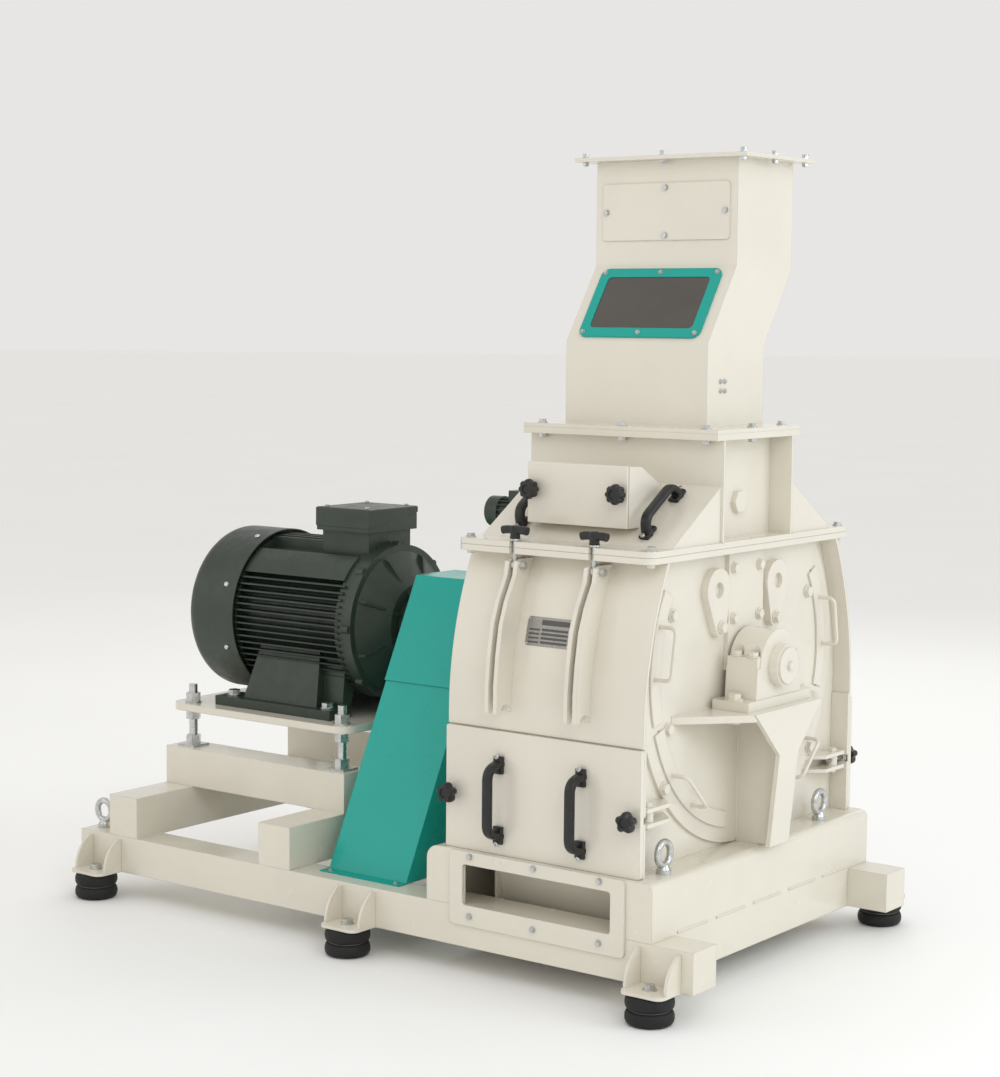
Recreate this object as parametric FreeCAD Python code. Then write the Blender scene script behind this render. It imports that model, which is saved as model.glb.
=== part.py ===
"""Hammer mill on a base frame, driven by an electric motor through a flexible coupling.

Units are millimetres, +Z is up, +X runs along the rotor shaft from the motor to the
far bearing, and -Y is the operator's side.  Every dimension below is measured from the
plane in the middle of the mill (X), the upright plane through the shaft (Y) and the
floor (Z).  save() then moves each piece so that the origin of the whole part is on the
floor under the middle of the machine.
"""
import FreeCAD
import Part
import math
import os

V = FreeCAD.Vector
os.makedirs("parts", exist_ok=True)

# ---------------------------------------------------------------- driving dimensions
ORIGIN_X = -563.0           # middle of the machine's length, from the mill's middle
SHAFT_Z = 760.0             # height of the rotor and motor shafts
CENTRE = (0.0, SHAFT_Z)     # the shaft line in Y and Z
FIT = 0.02                  # radial gap of pieces that are pressed together
RUNNING = 0.05              # radial gap of a shaft in its bearing or bush
HOLE_SLACK = 0.5            # radial gap of a bolt in a plain hole

# base frame
RAIL_X = (-1568.0, 442.0)
RAIL_OUT = 518.0            # outer faces of the two long rails, from the middle plane
RAIL_SIZE = 100.0
RAIL_Z = (70.0, 170.0)
TUBE_WALL = 6.0
CROSS_X = ((-1454.0, -1348.0), (-896.0, -787.0))
CROSS_TOP = 282.0
MOTOR_RAIL_X = (-1450.0, -788.0)
MOTOR_RAIL_Y = (203.0, 303.0)
MOTOR_RAIL_TOP = 388.0

# mill base box
BASE_X = (-332.0, 329.0)
BASE_TOP = 309.0
BASE_SHEET = 8.0
OUTLET_X = 205.0            # half width of the outlet through the base
OUTLET_Y = 400.0            # its half length at the top
OUTLET_LOW_Y = 340.0        # and at the bottom
OUTLET_HOLES = [(x, y) for x in (-250.0, 250.0) for y in (-380.0, 380.0)]
OUTLET_HOLE_R = 7.0
HATCH_X = 257.0
HATCH_Z = (124.0, 309.0)
HATCH_HOLE_X = 217.0
HATCH_HOLE_Z = (176.0, 276.0)
HATCH_SHEET = 6.0
HATCH_BOLTS = [(x, z) for x in (-194.0, -4.0, 186.0) for z in (150.0, 297.0)]
HATCH_BOLT_R = 4.0

# feet
FOOT_X = (-1468.0, -555.0, 352.0)
FOOT_Y = 557.0
FOOT_R = 58.0
FOOT_HEIGHT = 70.0
BRACKET_HALF = 59.0
BRACKET_OUT = 604.0
BRACKET_SHEET = 8.0
BRACKET_TOP = 160.0
FOOT_BOLT_R = 8.0

# drum
WALL_X = (227.0, 235.0)     # inner and outer faces of the side walls
DISC_X = 243.0              # face of the round plate on each side wall
DISC_R = 450.0
WALL_Y = 480.7
SHELL_CENTRE_Y = 395.0      # centre of the front shell's curve, behind the shaft
SHELL_CURVE_R = 890.0
SHELL_CURVE_Z = 640.0
SHELL_SHEET = 8.0
SHELL_X = 284.0
SEAT_Y = (481.0, 489.0)     # flat seat behind each lower panel
PANEL_Y = (489.3, 503.3)
PANEL_Z = (309.6, 611.0)
PANEL_SHEET = 4.0
DRUM_TOP = 1036.0
TOP_PLATE_Z = (1036.0, 1051.0)
INLET_PLATE_Z = (1051.5, 1066.0)
TOP_PLATE_X = 285.0
TOP_PLATE_Y = 471.0
TOP_OPENING = (214.0, 300.0)
SHAFT_HOLE_R = 54.0

# ribs and T-bolts
TBOLT_X = 115.0
TBOLT_Y = 458.0
TBOLT_Z = 1008.0
TBOLT_R = 6.0
TBOLT_EYE_R = 11.0
RIB_GAP = 14.0
RIB_SHEET = 12.0
KNOB_LIFT = 1.7             # the T-bolt is slack, so that it can swing out

# clamp screws of the lower panels
CLAMP_X = 262.0
CLAMP_Y = 440.0
CLAMP_Z = 447.0
CLAMP_R = 6.0
CLAMP_PLATES_Z = ((424.0, 434.0), (460.0, 470.0))

# screens, in degrees about the shaft: 0 is backward, 90 is up, 180 is forward
SCREEN_R = (388.0, 392.0)
SCREEN_END_R = (372.0, 412.0)
UPPER_SCREEN = (150.0, 196.0)
LOWER_SCREEN = (199.0, 260.0)
SLOT_GAP = 2.0
SCREEN_HANDLES = {"upper": (162.0, 180.0), "lower": (217.0, 235.0)}

# rotor
ROTOR_DISC_R = 265.0
ROTOR_DISC_SHEET = 10.0
ROTOR_DISCS = 9
ROTOR_HALF = 204.0
PIN_CIRCLE_R = 232.0
PIN_R = 12.0
HAMMER_TIP_R = 372.0
HAMMER_WIDTH = 50.0
HAMMER_SHEET = 8.0
SHAFT_R = 45.0
JOURNAL_R = 40.0
SHAFT_END_R = 37.5

# bearings of the rotor
BLOCK_X = (254.0, 355.0)
BLOCK_BODY_X = (262.0, 350.0)
BLOCK_Y = 150.0
BLOCK_Z = (660.0, 684.0)
BEARING_X = (283.0, 333.0)
BEARING_R = 72.0
SHELF_Z = (642.0, 660.0)

# inlet
FLANGE_X = 285.0
FLANGE_Y = 197.0
INLET_FLANGE_Z = (1310.0, 1326.0)
FLANGE_BOLTS = [(x, y) for x in (-240.0, 0.0, 240.0) for y in (-178.0, 178.0)] + [(-262.0, 0.0), (262.0, 0.0)]
CHUTE_FLANGE_Z = (1326.0, 1336.0)
INLET_X = 222.0
INLET_Y = 165.0
INLET_SHEET = 8.0
FLAP_Z = 1152.0
FLAP_R = 14.0
FLAP_LENGTH = 150.0
WEDGE_Z = 1200.0
WEDGE_Y = 374.0
WEDGE_X = 277.0
HOOD_X = 145.0
HOOD_Y = 360.0
HOOD_Z = (1104.0, 1252.0)
HOOD_SHEET = 5.0

# chute
CHUTE_X = 208.0
CHUTE_SHEET = 4.0
SIDE_SCREWS = [(y, z) for y in (-64.0, -45.0) for z in (1424.0, 1447.0)]
CHUTE_FRONT = ((-124.0, 1336.0), (-124.0, 1540.0), (3.0, 1729.0), (3.0, 1990.0))
CHUTE_BACK = ((140.0, 1336.0), (140.0, 1533.0), (267.0, 1722.0), (267.0, 1990.0))
TOP_FLANGE_X = 252.0
TOP_FLANGE_Y = (-33.0, 304.0)
TOP_FLANGE_Z = (1990.0, 1995.0, 2000.0)
WINDOW_HALF = 177.0
WINDOW_HEIGHT = 204.0
WINDOW_BORDER = 26.0
WINDOW_SHEET = 6.0
COVER_X = 187.0
COVER_Z = (1792.0, 1934.0)

# motor
FRAME_X = (-1284.0, -875.0)
FRAME_R = 222.0
FRAME_CORE_R = 192.0
STATOR_R = (96.0, 150.0)
MOTOR_SHAFT_R = 32.5
COWL_X = (-1446.0, -1262.0)
COWL_R = 232.0
PLATE_X = (-1453.0, -797.0)
PLATE_Y = 290.0
PLATE_Z = (490.0, 510.0)
STUD_X = (-1393.0, -838.0)
STUD_Y = 253.0
STUD_R = 12.0
MOTOR_FOOT_X = (-1320.0, -895.0)
MOTOR_HOLES = [(x, y) for x in (-1282.0, -933.0) for y in (-203.0, 203.0)]
MOTOR_BOLT_R = 10.0
TERMINAL_X = (-1062.0, -874.0)
TERMINAL_Y = 103.0
TERMINAL_Z = (1010.0, 1074.0)
GLAND = (-968.0, 1030.0)
GLAND_R = 12.5

# coupling and its guard
HUB_R = 92.0
MOTOR_HUB_X = (-735.0, -612.0)
SPIDER_X = (-611.6, -588.0)
ROTOR_HUB_X = (-588.0, -470.0)
GUARD_X = (-720.0, -462.0)
GUARD_FOOT_Y = 440.0
GUARD_TOP_Y = 80.0
GUARD_Z = (170.0, 907.0)
GUARD_SEAM_Z = 638.0
GUARD_SHEET = 3.0


# ---------------------------------------------------------------- shape helpers
def save(name, shape):
    """Write one node, moved so that the row's origin is under the machine's middle."""
    if isinstance(shape, (list, tuple)):
        shape = Part.makeCompound(list(shape))
    piece = shape.copy()
    piece.translate(V(-ORIGIN_X, 0, 0))
    piece.exportStep("parts/%s.step" % name)


def box(x0, x1, y0, y1, z0, z1):
    """Box between opposite corners, in any order."""
    xs, ys, zs = sorted((x0, x1)), sorted((y0, y1)), sorted((z0, z1))
    return Part.makeBox(xs[1] - xs[0], ys[1] - ys[0], zs[1] - zs[0], V(xs[0], ys[0], zs[0]))


def rod(axis, centre, r, start, end):
    """Cylinder along axis 'x', 'y' or 'z', from start to end on that axis.

    centre gives the other two coordinates, in X, Y, Z order.
    """
    a, b = centre
    lo, hi = sorted((start, end))
    if axis == "x":
        return Part.makeCylinder(r, hi - lo, V(lo, a, b), V(1, 0, 0))
    if axis == "y":
        return Part.makeCylinder(r, hi - lo, V(a, lo, b), V(0, 1, 0))
    return Part.makeCylinder(r, hi - lo, V(a, b, lo), V(0, 0, 1))


def tube(axis, centre, r_out, r_in, start, end):
    """Hollow cylinder."""
    return rod(axis, centre, r_out, start, end).cut(rod(axis, centre, r_in, start - 1, end + 1))


def prism(plane, points, start, end):
    """Polygon in plane 'yz', 'xz' or 'xy', extruded from start to end across it."""
    if plane == "yz":
        corners = [V(start, a, b) for a, b in points]
        travel = V(end - start, 0, 0)
    elif plane == "xz":
        corners = [V(a, start, b) for a, b in points]
        travel = V(0, end - start, 0)
    else:
        corners = [V(a, b, start) for a, b in points]
        travel = V(0, 0, end - start)
    return Part.Face(Part.makePolygon(corners + corners[:1])).extrude(travel)


def plate(axis, u0, u1, v0, v1, start, end, corner):
    """Flat plate with rounded corners, of thickness start to end along axis."""
    if axis == "x":
        solid = box(start, end, u0, u1, v0, v1)
    elif axis == "y":
        solid = box(u0, u1, start, end, v0, v1)
    else:
        solid = box(u0, u1, v0, v1, start, end)
    if corner <= 0:
        return solid
    index = "xyz".index(axis)
    edges = []
    for edge in solid.Edges:
        direction = edge.Vertexes[1].Point - edge.Vertexes[0].Point
        if abs(direction[index]) > 1e-6:
            edges.append(edge)
    return solid.makeFillet(corner, edges)


def polar(r, degrees):
    """Point (y, z) at radius r from the shaft; 0 is backward, 90 up, 180 forward."""
    angle = math.radians(degrees)
    return r * math.cos(angle), SHAFT_Z + r * math.sin(angle)


def arc_sheet(r_in, r_out, a0, a1, x0, x1):
    """Piece of a tube about the shaft, between angles a0 and a1."""
    am = (a0 + a1) / 2
    outer = [V(x0, *polar(r_out, a)) for a in (a0, am, a1)]
    inner = [V(x0, *polar(r_in, a)) for a in (a1, am, a0)]
    wire = Part.Wire([
        Part.Arc(*outer).toShape(),
        Part.LineSegment(outer[2], inner[0]).toShape(),
        Part.Arc(*inner).toShape(),
        Part.LineSegment(inner[2], outer[0]).toShape(),
    ])
    return Part.Face(wire).extrude(V(x1 - x0, 0, 0))


def hexagon(axis, centre, across_flats, start, end):
    """Hexagonal prism along an axis."""
    r = across_flats / math.sqrt(3)
    points = []
    for k in range(6):
        angle = math.radians(60 * k)
        points.append((centre[0] + r * math.cos(angle), centre[1] + r * math.sin(angle)))
    plane = {"x": "yz", "y": "xz", "z": "xy"}[axis]
    return prism(plane, points, start, end)


def drill(solid, axis, places, r, start, end):
    """Round holes along axis at each place."""
    for place in places:
        solid = solid.cut(rod(axis, place, r, start, end))
    return solid


def mirror_y(shape):
    """The same piece on the other side of the shaft's vertical plane."""
    return shape.mirror(V(0, 0, 0), V(0, 1, 0))


def mirror_x(shape):
    """The same piece on the other side of the mill's middle plane."""
    return shape.mirror(V(0, 0, 0), V(1, 0, 0))


def fuse_all(shapes):
    """One solid from touching shapes."""
    first = shapes[0]
    if len(shapes) > 1:
        first = first.fuse(shapes[1:])
    return first.removeSplitter()


def bar_handle(path, r):
    """Round wire handle through a few points, with rounded corners."""
    bend = r * 3.2
    edges = []
    last = path[0]
    for before, corner, after in zip(path, path[1:], path[2:]):
        into = (corner - before).normalize()
        away = (after - corner).normalize()
        turn = into.getAngle(away)
        cut = bend * math.tan(turn / 2)
        a = corner - into * cut
        b = corner + away * cut
        middle_dir = (away - into).normalize()
        centre = corner + middle_dir * (bend / math.cos(turn / 2))
        mid = centre - middle_dir * bend
        edges.append(Part.LineSegment(last, a).toShape())
        edges.append(Part.Arc(a, mid, b).toShape())
        last = b
    edges.append(Part.LineSegment(last, path[-1]).toShape())
    wire = Part.Wire(edges)
    start_dir = (path[1] - path[0]).normalize()
    ring = Part.Wire([Part.Circle(path[0], start_dir, r).toShape()])
    return wire.makePipeShell([ring], True, True)


# ---------------------------------------------------------------- base frame
def tube_x(x0, x1, y0, y1, z0, z1):
    """Capped square tube along X, with a vent hole underneath."""
    t = TUBE_WALL
    solid = box(x0, x1, y0, y1, z0, z1).cut(box(x0 + t, x1 - t, y0 + t, y1 - t, z0 + t, z1 - t))
    return solid.cut(rod("z", ((x0 + x1) / 2, (y0 + y1) / 2), 6, z0 - 1, z0 + t + 1))


def tube_y(x0, x1, y0, y1, z0, z1):
    """Capped square tube along Y, with a vent hole underneath."""
    t = TUBE_WALL
    solid = box(x0, x1, y0, y1, z0, z1).cut(box(x0 + t, x1 - t, y0 + t, y1 - t, z0 + t, z1 - t))
    return solid.cut(rod("z", ((x0 + x1) / 2, 0), 6, z0 - 1, z0 + t + 1))


def foot_bracket(x):
    """Bent sheet outside the front rail: a floor over the foot and two curved cheeks."""
    wall_y = -RAIL_OUT
    low = FOOT_HEIGHT + BRACKET_SHEET
    floor = box(x - BRACKET_HALF, x + BRACKET_HALF, -BRACKET_OUT, wall_y, FOOT_HEIGHT, low)
    corners = []
    for edge in floor.Edges:
        ends = [v.Point for v in edge.Vertexes]
        upright = abs(ends[1].z - ends[0].z) > 1
        if upright and ends[0].y < -BRACKET_OUT + 1:
            corners.append(edge)
    floor = floor.makeFillet(22, corners)
    nose = V(0, -BRACKET_OUT + 24, low)
    middle = V(0, -BRACKET_OUT + 36, (low + BRACKET_TOP) / 2 + 6)
    peak = V(0, wall_y - 14, BRACKET_TOP)
    wall = V(0, wall_y, BRACKET_TOP)
    heel = V(0, wall_y, low)
    outline = Part.Wire([
        Part.Arc(nose, middle, peak).toShape(),
        Part.LineSegment(peak, wall).toShape(),
        Part.LineSegment(wall, heel).toShape(),
        Part.LineSegment(heel, nose).toShape(),
    ])
    cheek = Part.Face(outline).extrude(V(BRACKET_SHEET, 0, 0))
    left = cheek.copy()
    left.translate(V(x - BRACKET_HALF, 0, 0))
    right = cheek.copy()
    right.translate(V(x + BRACKET_HALF - BRACKET_SHEET, 0, 0))
    solid = fuse_all([floor, left, right])
    return solid.cut(rod("z", (x, -FOOT_Y), FOOT_BOLT_R + HOLE_SLACK, FOOT_HEIGHT - 1, low + 1))


def isolator():
    """Rubber foot with two bulges round a narrower waist."""
    waist = FOOT_R - 12
    rim = 3
    half = FOOT_HEIGHT / 2
    low = (rim + half) / 2
    face = Part.Face(Part.Wire([
        Part.LineSegment(V(0, 0, 0), V(waist, 0, 0)).toShape(),
        Part.LineSegment(V(waist, 0, 0), V(waist, 0, rim)).toShape(),
        Part.Arc(V(waist, 0, rim), V(FOOT_R, 0, low), V(waist, 0, half)).toShape(),
        Part.Arc(V(waist, 0, half), V(FOOT_R, 0, FOOT_HEIGHT - low), V(waist, 0, FOOT_HEIGHT - rim)).toShape(),
        Part.LineSegment(V(waist, 0, FOOT_HEIGHT - rim), V(waist, 0, FOOT_HEIGHT)).toShape(),
        Part.LineSegment(V(waist, 0, FOOT_HEIGHT), V(0, 0, FOOT_HEIGHT)).toShape(),
        Part.LineSegment(V(0, 0, FOOT_HEIGHT), V(0, 0, 0)).toShape(),
    ]))
    solid = face.revolve(V(0, 0, 0), V(0, 0, 1), 360)
    return solid.cut(rod("z", (0, 0), FOOT_BOLT_R + HOLE_SLACK, FOOT_HEIGHT - 32, FOOT_HEIGHT + 1))


def eyebolt(x, y, z, across):
    """Lifting eye with its collar; 'across' is the direction that goes through the ring."""
    major = 27.0
    minor = 8.5
    ring = Part.makeTorus(major, minor, V(x, y, z + 12 + major + minor), across)
    collar = rod("z", (x, y), 18, z, z + 10)
    neck = Part.makeCone(17, 11, 14, V(x, y, z + 8), V(0, 0, 1))
    return fuse_all([collar, neck, ring])


def make_base_frame():
    front = tube_x(RAIL_X[0], RAIL_X[1], -RAIL_OUT, -RAIL_OUT + RAIL_SIZE, *RAIL_Z)
    save("side_rails", [front, mirror_y(front)])
    beams = [tube_y(x0, x1, -RAIL_OUT, RAIL_OUT, RAIL_Z[1], CROSS_TOP) for x0, x1 in CROSS_X]
    for side in (-1, 1):
        ys = sorted((side * MOTOR_RAIL_Y[0], side * MOTOR_RAIL_Y[1]))
        beam = tube_x(MOTOR_RAIL_X[0], MOTOR_RAIL_X[1], ys[0], ys[1], CROSS_TOP, MOTOR_RAIL_TOP)
        places = [(x, side * STUD_Y) for x in STUD_X]
        beams.append(drill(beam, "z", places, STUD_R + HOLE_SLACK, MOTOR_RAIL_TOP - 10, MOTOR_RAIL_TOP + 1))
    save("cross_members", beams)
    brackets = []
    feet = []
    for x in FOOT_X:
        bracket = foot_bracket(x)
        brackets.extend([bracket, mirror_y(bracket)])
        for y in (-FOOT_Y, FOOT_Y):
            foot = isolator()
            foot.translate(V(x, y, 0))
            feet.append(foot)
    save("foot_brackets", brackets)
    save("isolator_feet", feet)
    eyes = [eyebolt(288, y, BASE_TOP, V(1, 0, 0)) for y in (-408, 330)]
    eyes += [eyebolt(-1530, y, RAIL_Z[1], V(0, 1, 0)) for y in (-466, 466)]
    save("lifting_eyes", eyes)


def make_mill_base():
    """Box under the drum: outlet hopper inside, a hatch hole front and back."""
    x0, x1 = BASE_X
    t = BASE_SHEET
    outer = box(x0, x1, -RAIL_OUT, RAIL_OUT, RAIL_Z[0], BASE_TOP)
    left = []
    right = []
    for edge in outer.Edges:
        ends = [v.Point for v in edge.Vertexes]
        if abs(ends[1].y - ends[0].y) > 1 and ends[0].z > BASE_TOP - 1:
            (left if ends[0].x < 0 else right).append(edge)
    outer = outer.makeFillet(34, left)
    right = [e for e in outer.Edges if abs(e.BoundBox.XMin - x1) < 1e-4 and abs(e.BoundBox.XMax - x1) < 1e-4
             and abs(e.BoundBox.ZMin - BASE_TOP) < 1e-4 and abs(e.BoundBox.ZMax - BASE_TOP) < 1e-4]
    outer = outer.makeFillet(18, right)
    shell = outer.cut(box(x0 + t, x1 - t, -RAIL_OUT + t, RAIL_OUT - t, 0, BASE_TOP - t))
    outlet = box(-OUTLET_X, OUTLET_X, -OUTLET_Y, OUTLET_Y, BASE_TOP - 2 * t, BASE_TOP + 1)
    shell = shell.cut(outlet)
    sheets = [shell]
    floor = box(x0 + t, x1 - t, -RAIL_OUT + RAIL_SIZE, RAIL_OUT - RAIL_SIZE, RAIL_Z[0], RAIL_Z[0] + t)
    floor = floor.cut(box(-OUTLET_X, OUTLET_X, -OUTLET_LOW_Y, OUTLET_LOW_Y, 0, BASE_TOP))
    sheets.append(floor)
    for side in (-1, 1):
        sheets.append(box(side * OUTLET_X, side * (OUTLET_X + 6), -OUTLET_Y, OUTLET_Y,
                          RAIL_Z[0] + t, BASE_TOP - t))
        slope = [(side * OUTLET_Y, BASE_TOP - t), (side * (OUTLET_Y + 7), BASE_TOP - t),
                 (side * (OUTLET_LOW_Y + 7), RAIL_Z[0] + t), (side * OUTLET_LOW_Y, RAIL_Z[0] + t)]
        sheets.append(prism("yz", slope, -OUTLET_X - 3, OUTLET_X + 3))
        sheets.append(box(x0 + t, x1 - t, side * (RAIL_OUT - t), side * (RAIL_OUT - RAIL_SIZE),
                          RAIL_Z[1], RAIL_Z[1] + 6))
    solid = fuse_all(sheets)
    for side in (-1, 1):
        solid = solid.cut(box(x0 - 1, x1 + 1, side * (RAIL_OUT - RAIL_SIZE), side * (RAIL_OUT + 1),
                              0, RAIL_Z[1]))
        solid = solid.cut(box(-HATCH_HOLE_X, HATCH_HOLE_X, side * (RAIL_OUT - t - 2),
                              side * (RAIL_OUT + 1), *HATCH_HOLE_Z))
        high = [(x, z) for x, z in HATCH_BOLTS if z > RAIL_Z[1]]
        span = sorted((side * (RAIL_OUT - 20), side * (RAIL_OUT + 1)))
        solid = drill(solid, "y", high, HATCH_BOLT_R + HOLE_SLACK, *span)
    for k in range(5):
        y = -343 + 172 * k
        solid = solid.fuse(rod("y", (x1, RAIL_Z[1] + 6), 3, y - 66, y + 66))
    solid = drill(solid, "z", OUTLET_HOLES, OUTLET_HOLE_R, RAIL_Z[0] - 1, RAIL_Z[0] + t + 1)
    save("mill_base", solid)
    frames = []
    for side in (-1, 1):
        a, b = sorted((side * RAIL_OUT, side * (RAIL_OUT + HATCH_SHEET)))
        frame = plate("y", -HATCH_X, HATCH_X, HATCH_Z[0], HATCH_Z[1], a, b, 14)
        frame = frame.cut(plate("y", -HATCH_HOLE_X, HATCH_HOLE_X, HATCH_HOLE_Z[0], HATCH_HOLE_Z[1],
                                a - 1, b + 1, 8))
        frames.append(drill(frame, "y", HATCH_BOLTS, HATCH_BOLT_R + HOLE_SLACK, a - 1, b + 1))
    save("base_hatch_frames", frames)


# ---------------------------------------------------------------- motor
def make_motor_support():
    top = plate("z", PLATE_X[0], PLATE_X[1], -PLATE_Y, PLATE_Y, PLATE_Z[0], PLATE_Z[1], 45)
    studs = [(x, y) for x in STUD_X for y in (-STUD_Y, STUD_Y)]
    top = drill(top, "z", studs, STUD_R + HOLE_SLACK, PLATE_Z[0] - 1, PLATE_Z[1] + 1)
    top = drill(top, "z", MOTOR_HOLES, MOTOR_BOLT_R + HOLE_SLACK, PLATE_Z[0] - 1, PLATE_Z[1] + 1)
    save("motor_plate", top)
    group = []
    for x, y in studs:
        pieces = [rod("z", (x, y), STUD_R, MOTOR_RAIL_TOP - TUBE_WALL, 562)]
        pieces.append(box(x - 31, x + 31, y - 31, y + 31, MOTOR_RAIL_TOP, MOTOR_RAIL_TOP + 5))
        pieces.append(hexagon("z", (x, y), 36, MOTOR_RAIL_TOP + 5, MOTOR_RAIL_TOP + 30))
        pieces.append(rod("z", (x, y), 23, PLATE_Z[0] - 4, PLATE_Z[0]))
        pieces.append(hexagon("z", (x, y), 36, PLATE_Z[0] - 26, PLATE_Z[0] - 4))
        pieces.append(rod("z", (x, y), 23, PLATE_Z[1], PLATE_Z[1] + 4))
        pieces.append(hexagon("z", (x, y), 36, PLATE_Z[1] + 4, PLATE_Z[1] + 28))
        group.append(fuse_all(pieces))
    save("levelling_studs", group)


FOOT_WEB = prism("xz", [(-1241, PLATE_Z[1]), (-962, PLATE_Z[1]), (-988, SHAFT_Z), (-1180, SHAFT_Z)], -260, 260)


def make_motor_frame():
    """Finned cast frame with its two feet and the seat of the terminal box."""
    x0, x1 = FRAME_X
    envelope = rod("x", CENTRE, FRAME_R, x0 + 10, x1 - 8)
    fins = []
    for side in (-1, 1):
        for k in range(16):
            z = SHAFT_Z - 158 + 18 * k
            fins.append(box(x0 + 10, x1 - 8, side * 90, side * FRAME_R, z - 2, z + 2))
    for k in range(-3, 4):
        fins.append(box(x0 + 10, x1 - 8, 18 * k - 2, 18 * k + 2, SHAFT_Z + 150, SHAFT_Z + FRAME_R))
    ribs = fins[0].multiFuse(fins[1:]).common(envelope)
    pieces = [rod("x", CENTRE, FRAME_CORE_R, x0, x1), ribs]
    pieces.append(rod("x", CENTRE, FRAME_R - 8, x1 - 26, x1))
    pieces.append(rod("x", CENTRE, FRAME_R - 8, x0, x0 + 20))
    for side in (-1, 1):
        top_z = SHAFT_Z + 118
        shoulder = box(x0 + 20, x1 - 20, side * 118, side * 186, top_z + 8, top_z + 74)
        pieces.append(shoulder.common(rod("x", CENTRE, FRAME_R - 1, x0, x1)))
        pieces.append(box(MOTOR_FOOT_X[0], MOTOR_FOOT_X[1], side * 150, side * 240,
                          PLATE_Z[1], PLATE_Z[1] + 26))
        web = [(side * 150, PLATE_Z[1] + 20), (side * 180, PLATE_Z[1] + 20), (side * 168, SHAFT_Z - 90),
               (side * 110, SHAFT_Z - 120)]
        pieces.append(prism("yz", web, x1 - 116, x1 - 26))
        web = [(side * 150, PLATE_Z[1] + 20), (side * 216, PLATE_Z[1] + 20), (side * 180, SHAFT_Z - 66),
               (side * 100, SHAFT_Z - 120)]
        pieces.append(prism("yz", web, x0, x1).common(FOOT_WEB))
    seat = box(TERMINAL_X[0] + 10, TERMINAL_X[1] - 12, -TERMINAL_Y + 14, TERMINAL_Y - 14,
               SHAFT_Z + 160, TERMINAL_Z[0])
    pieces.append(seat)
    solid = fuse_all(pieces)
    solid = solid.cut(rod("x", CENTRE, STATOR_R[1] + FIT, x0 - 1, x1 + 1))
    solid = drill(solid, "z", MOTOR_HOLES, MOTOR_BOLT_R + HOLE_SLACK, PLATE_Z[1] - 1, PLATE_Z[1] + 27)
    save("motor_frame", solid)
    save("stator_core", tube("x", CENTRE, STATOR_R[1], STATOR_R[0], x0 + 60, x1 - 60))


MOTOR_BEARING_R = 62.0
MOTOR_BEARING_X = (-838.0, -800.0)
REAR_BEARING_R = 45.0
REAR_BEARING_X = (-1314.0, -1290.0)
REAR_SHAFT_R = 25.0


def make_end_shields():
    """Drive-end shield with radial ribs, and the plain shield behind the fan."""
    x1 = FRAME_X[1]
    pieces = [rod("x", CENTRE, 214, x1, x1 + 30)]
    pieces.append(Part.makeCone(196, 110, 56, V(x1 + 30, 0, SHAFT_Z), V(1, 0, 0)))
    pieces.append(rod("x", CENTRE, 76, x1 + 30, x1 + 104))
    for k in range(8):
        outline = [(x1 + 20, SHAFT_Z + 50), (x1 + 92, SHAFT_Z + 50), (x1 + 92, SHAFT_Z + 84),
                   (x1 + 50, SHAFT_Z + 190), (x1 + 20, SHAFT_Z + 200)]
        rib = prism("xz", outline, -4, 4)
        rib.rotate(V(0, 0, SHAFT_Z), V(1, 0, 0), 22.5 + 45 * k)
        pieces.append(rib)
    for k in range(8):
        lug = rod("x", (0, SHAFT_Z + 210), 12, x1 + 2, x1 + 26)
        lug.rotate(V(0, 0, SHAFT_Z), V(1, 0, 0), 45 * k)
        pieces.append(lug)
    front = fuse_all(pieces)
    front = front.cut(rod("x", CENTRE, 110, x1 - 1, x1 + 30))
    front = front.cut(rod("x", CENTRE, MOTOR_BEARING_R + FIT, x1, MOTOR_BEARING_X[1]))
    front = front.cut(rod("x", CENTRE, MOTOR_SHAFT_R + 3, x1, x1 + 110))
    x0 = FRAME_X[0]
    back = rod("x", CENTRE, 219, x0 - 14, x0).fuse(rod("x", CENTRE, 62, x0 - 42, x0)).removeSplitter()
    back = back.cut(rod("x", CENTRE, REAR_BEARING_R + FIT, REAR_BEARING_X[0], x0 + 1))
    back = back.cut(rod("x", CENTRE, REAR_SHAFT_R + 3, x0 - 50, x0 + 1))
    save("motor_end_shields", [front, back])


def make_cowl():
    """Round fan cowl with an open grille in its end."""
    x0, x1 = COWL_X
    outer = rod("x", CENTRE, COWL_R, x0, x1)
    rim = [e for e in outer.Edges if e.BoundBox.XMax < x0 + 1e-3]
    outer = outer.makeFillet(40, rim)
    inner = rod("x", CENTRE, COWL_R - 4, x0 + 4, x1 + 1)
    rim = [e for e in inner.Edges if e.BoundBox.XMax < x0 + 4 + 1e-3]
    inner = inner.makeFillet(36, rim)
    cowl = outer.cut(inner)
    spokes = []
    for k in range(4):
        spoke = box(x0 - 2, x0 + 8, -6, 6, SHAFT_Z, SHAFT_Z + 200)
        spoke.rotate(V(0, 0, SHAFT_Z), V(1, 0, 0), 45 + 90 * k)
        spokes.append(spoke)
    for r in (48, 76, 104, 132, 160):
        slot = tube("x", CENTRE, r + 16, r, x0 - 1, x0 + 5)
        cowl = cowl.cut(slot.cut(spokes))
    save("fan_cowl", cowl)


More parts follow.
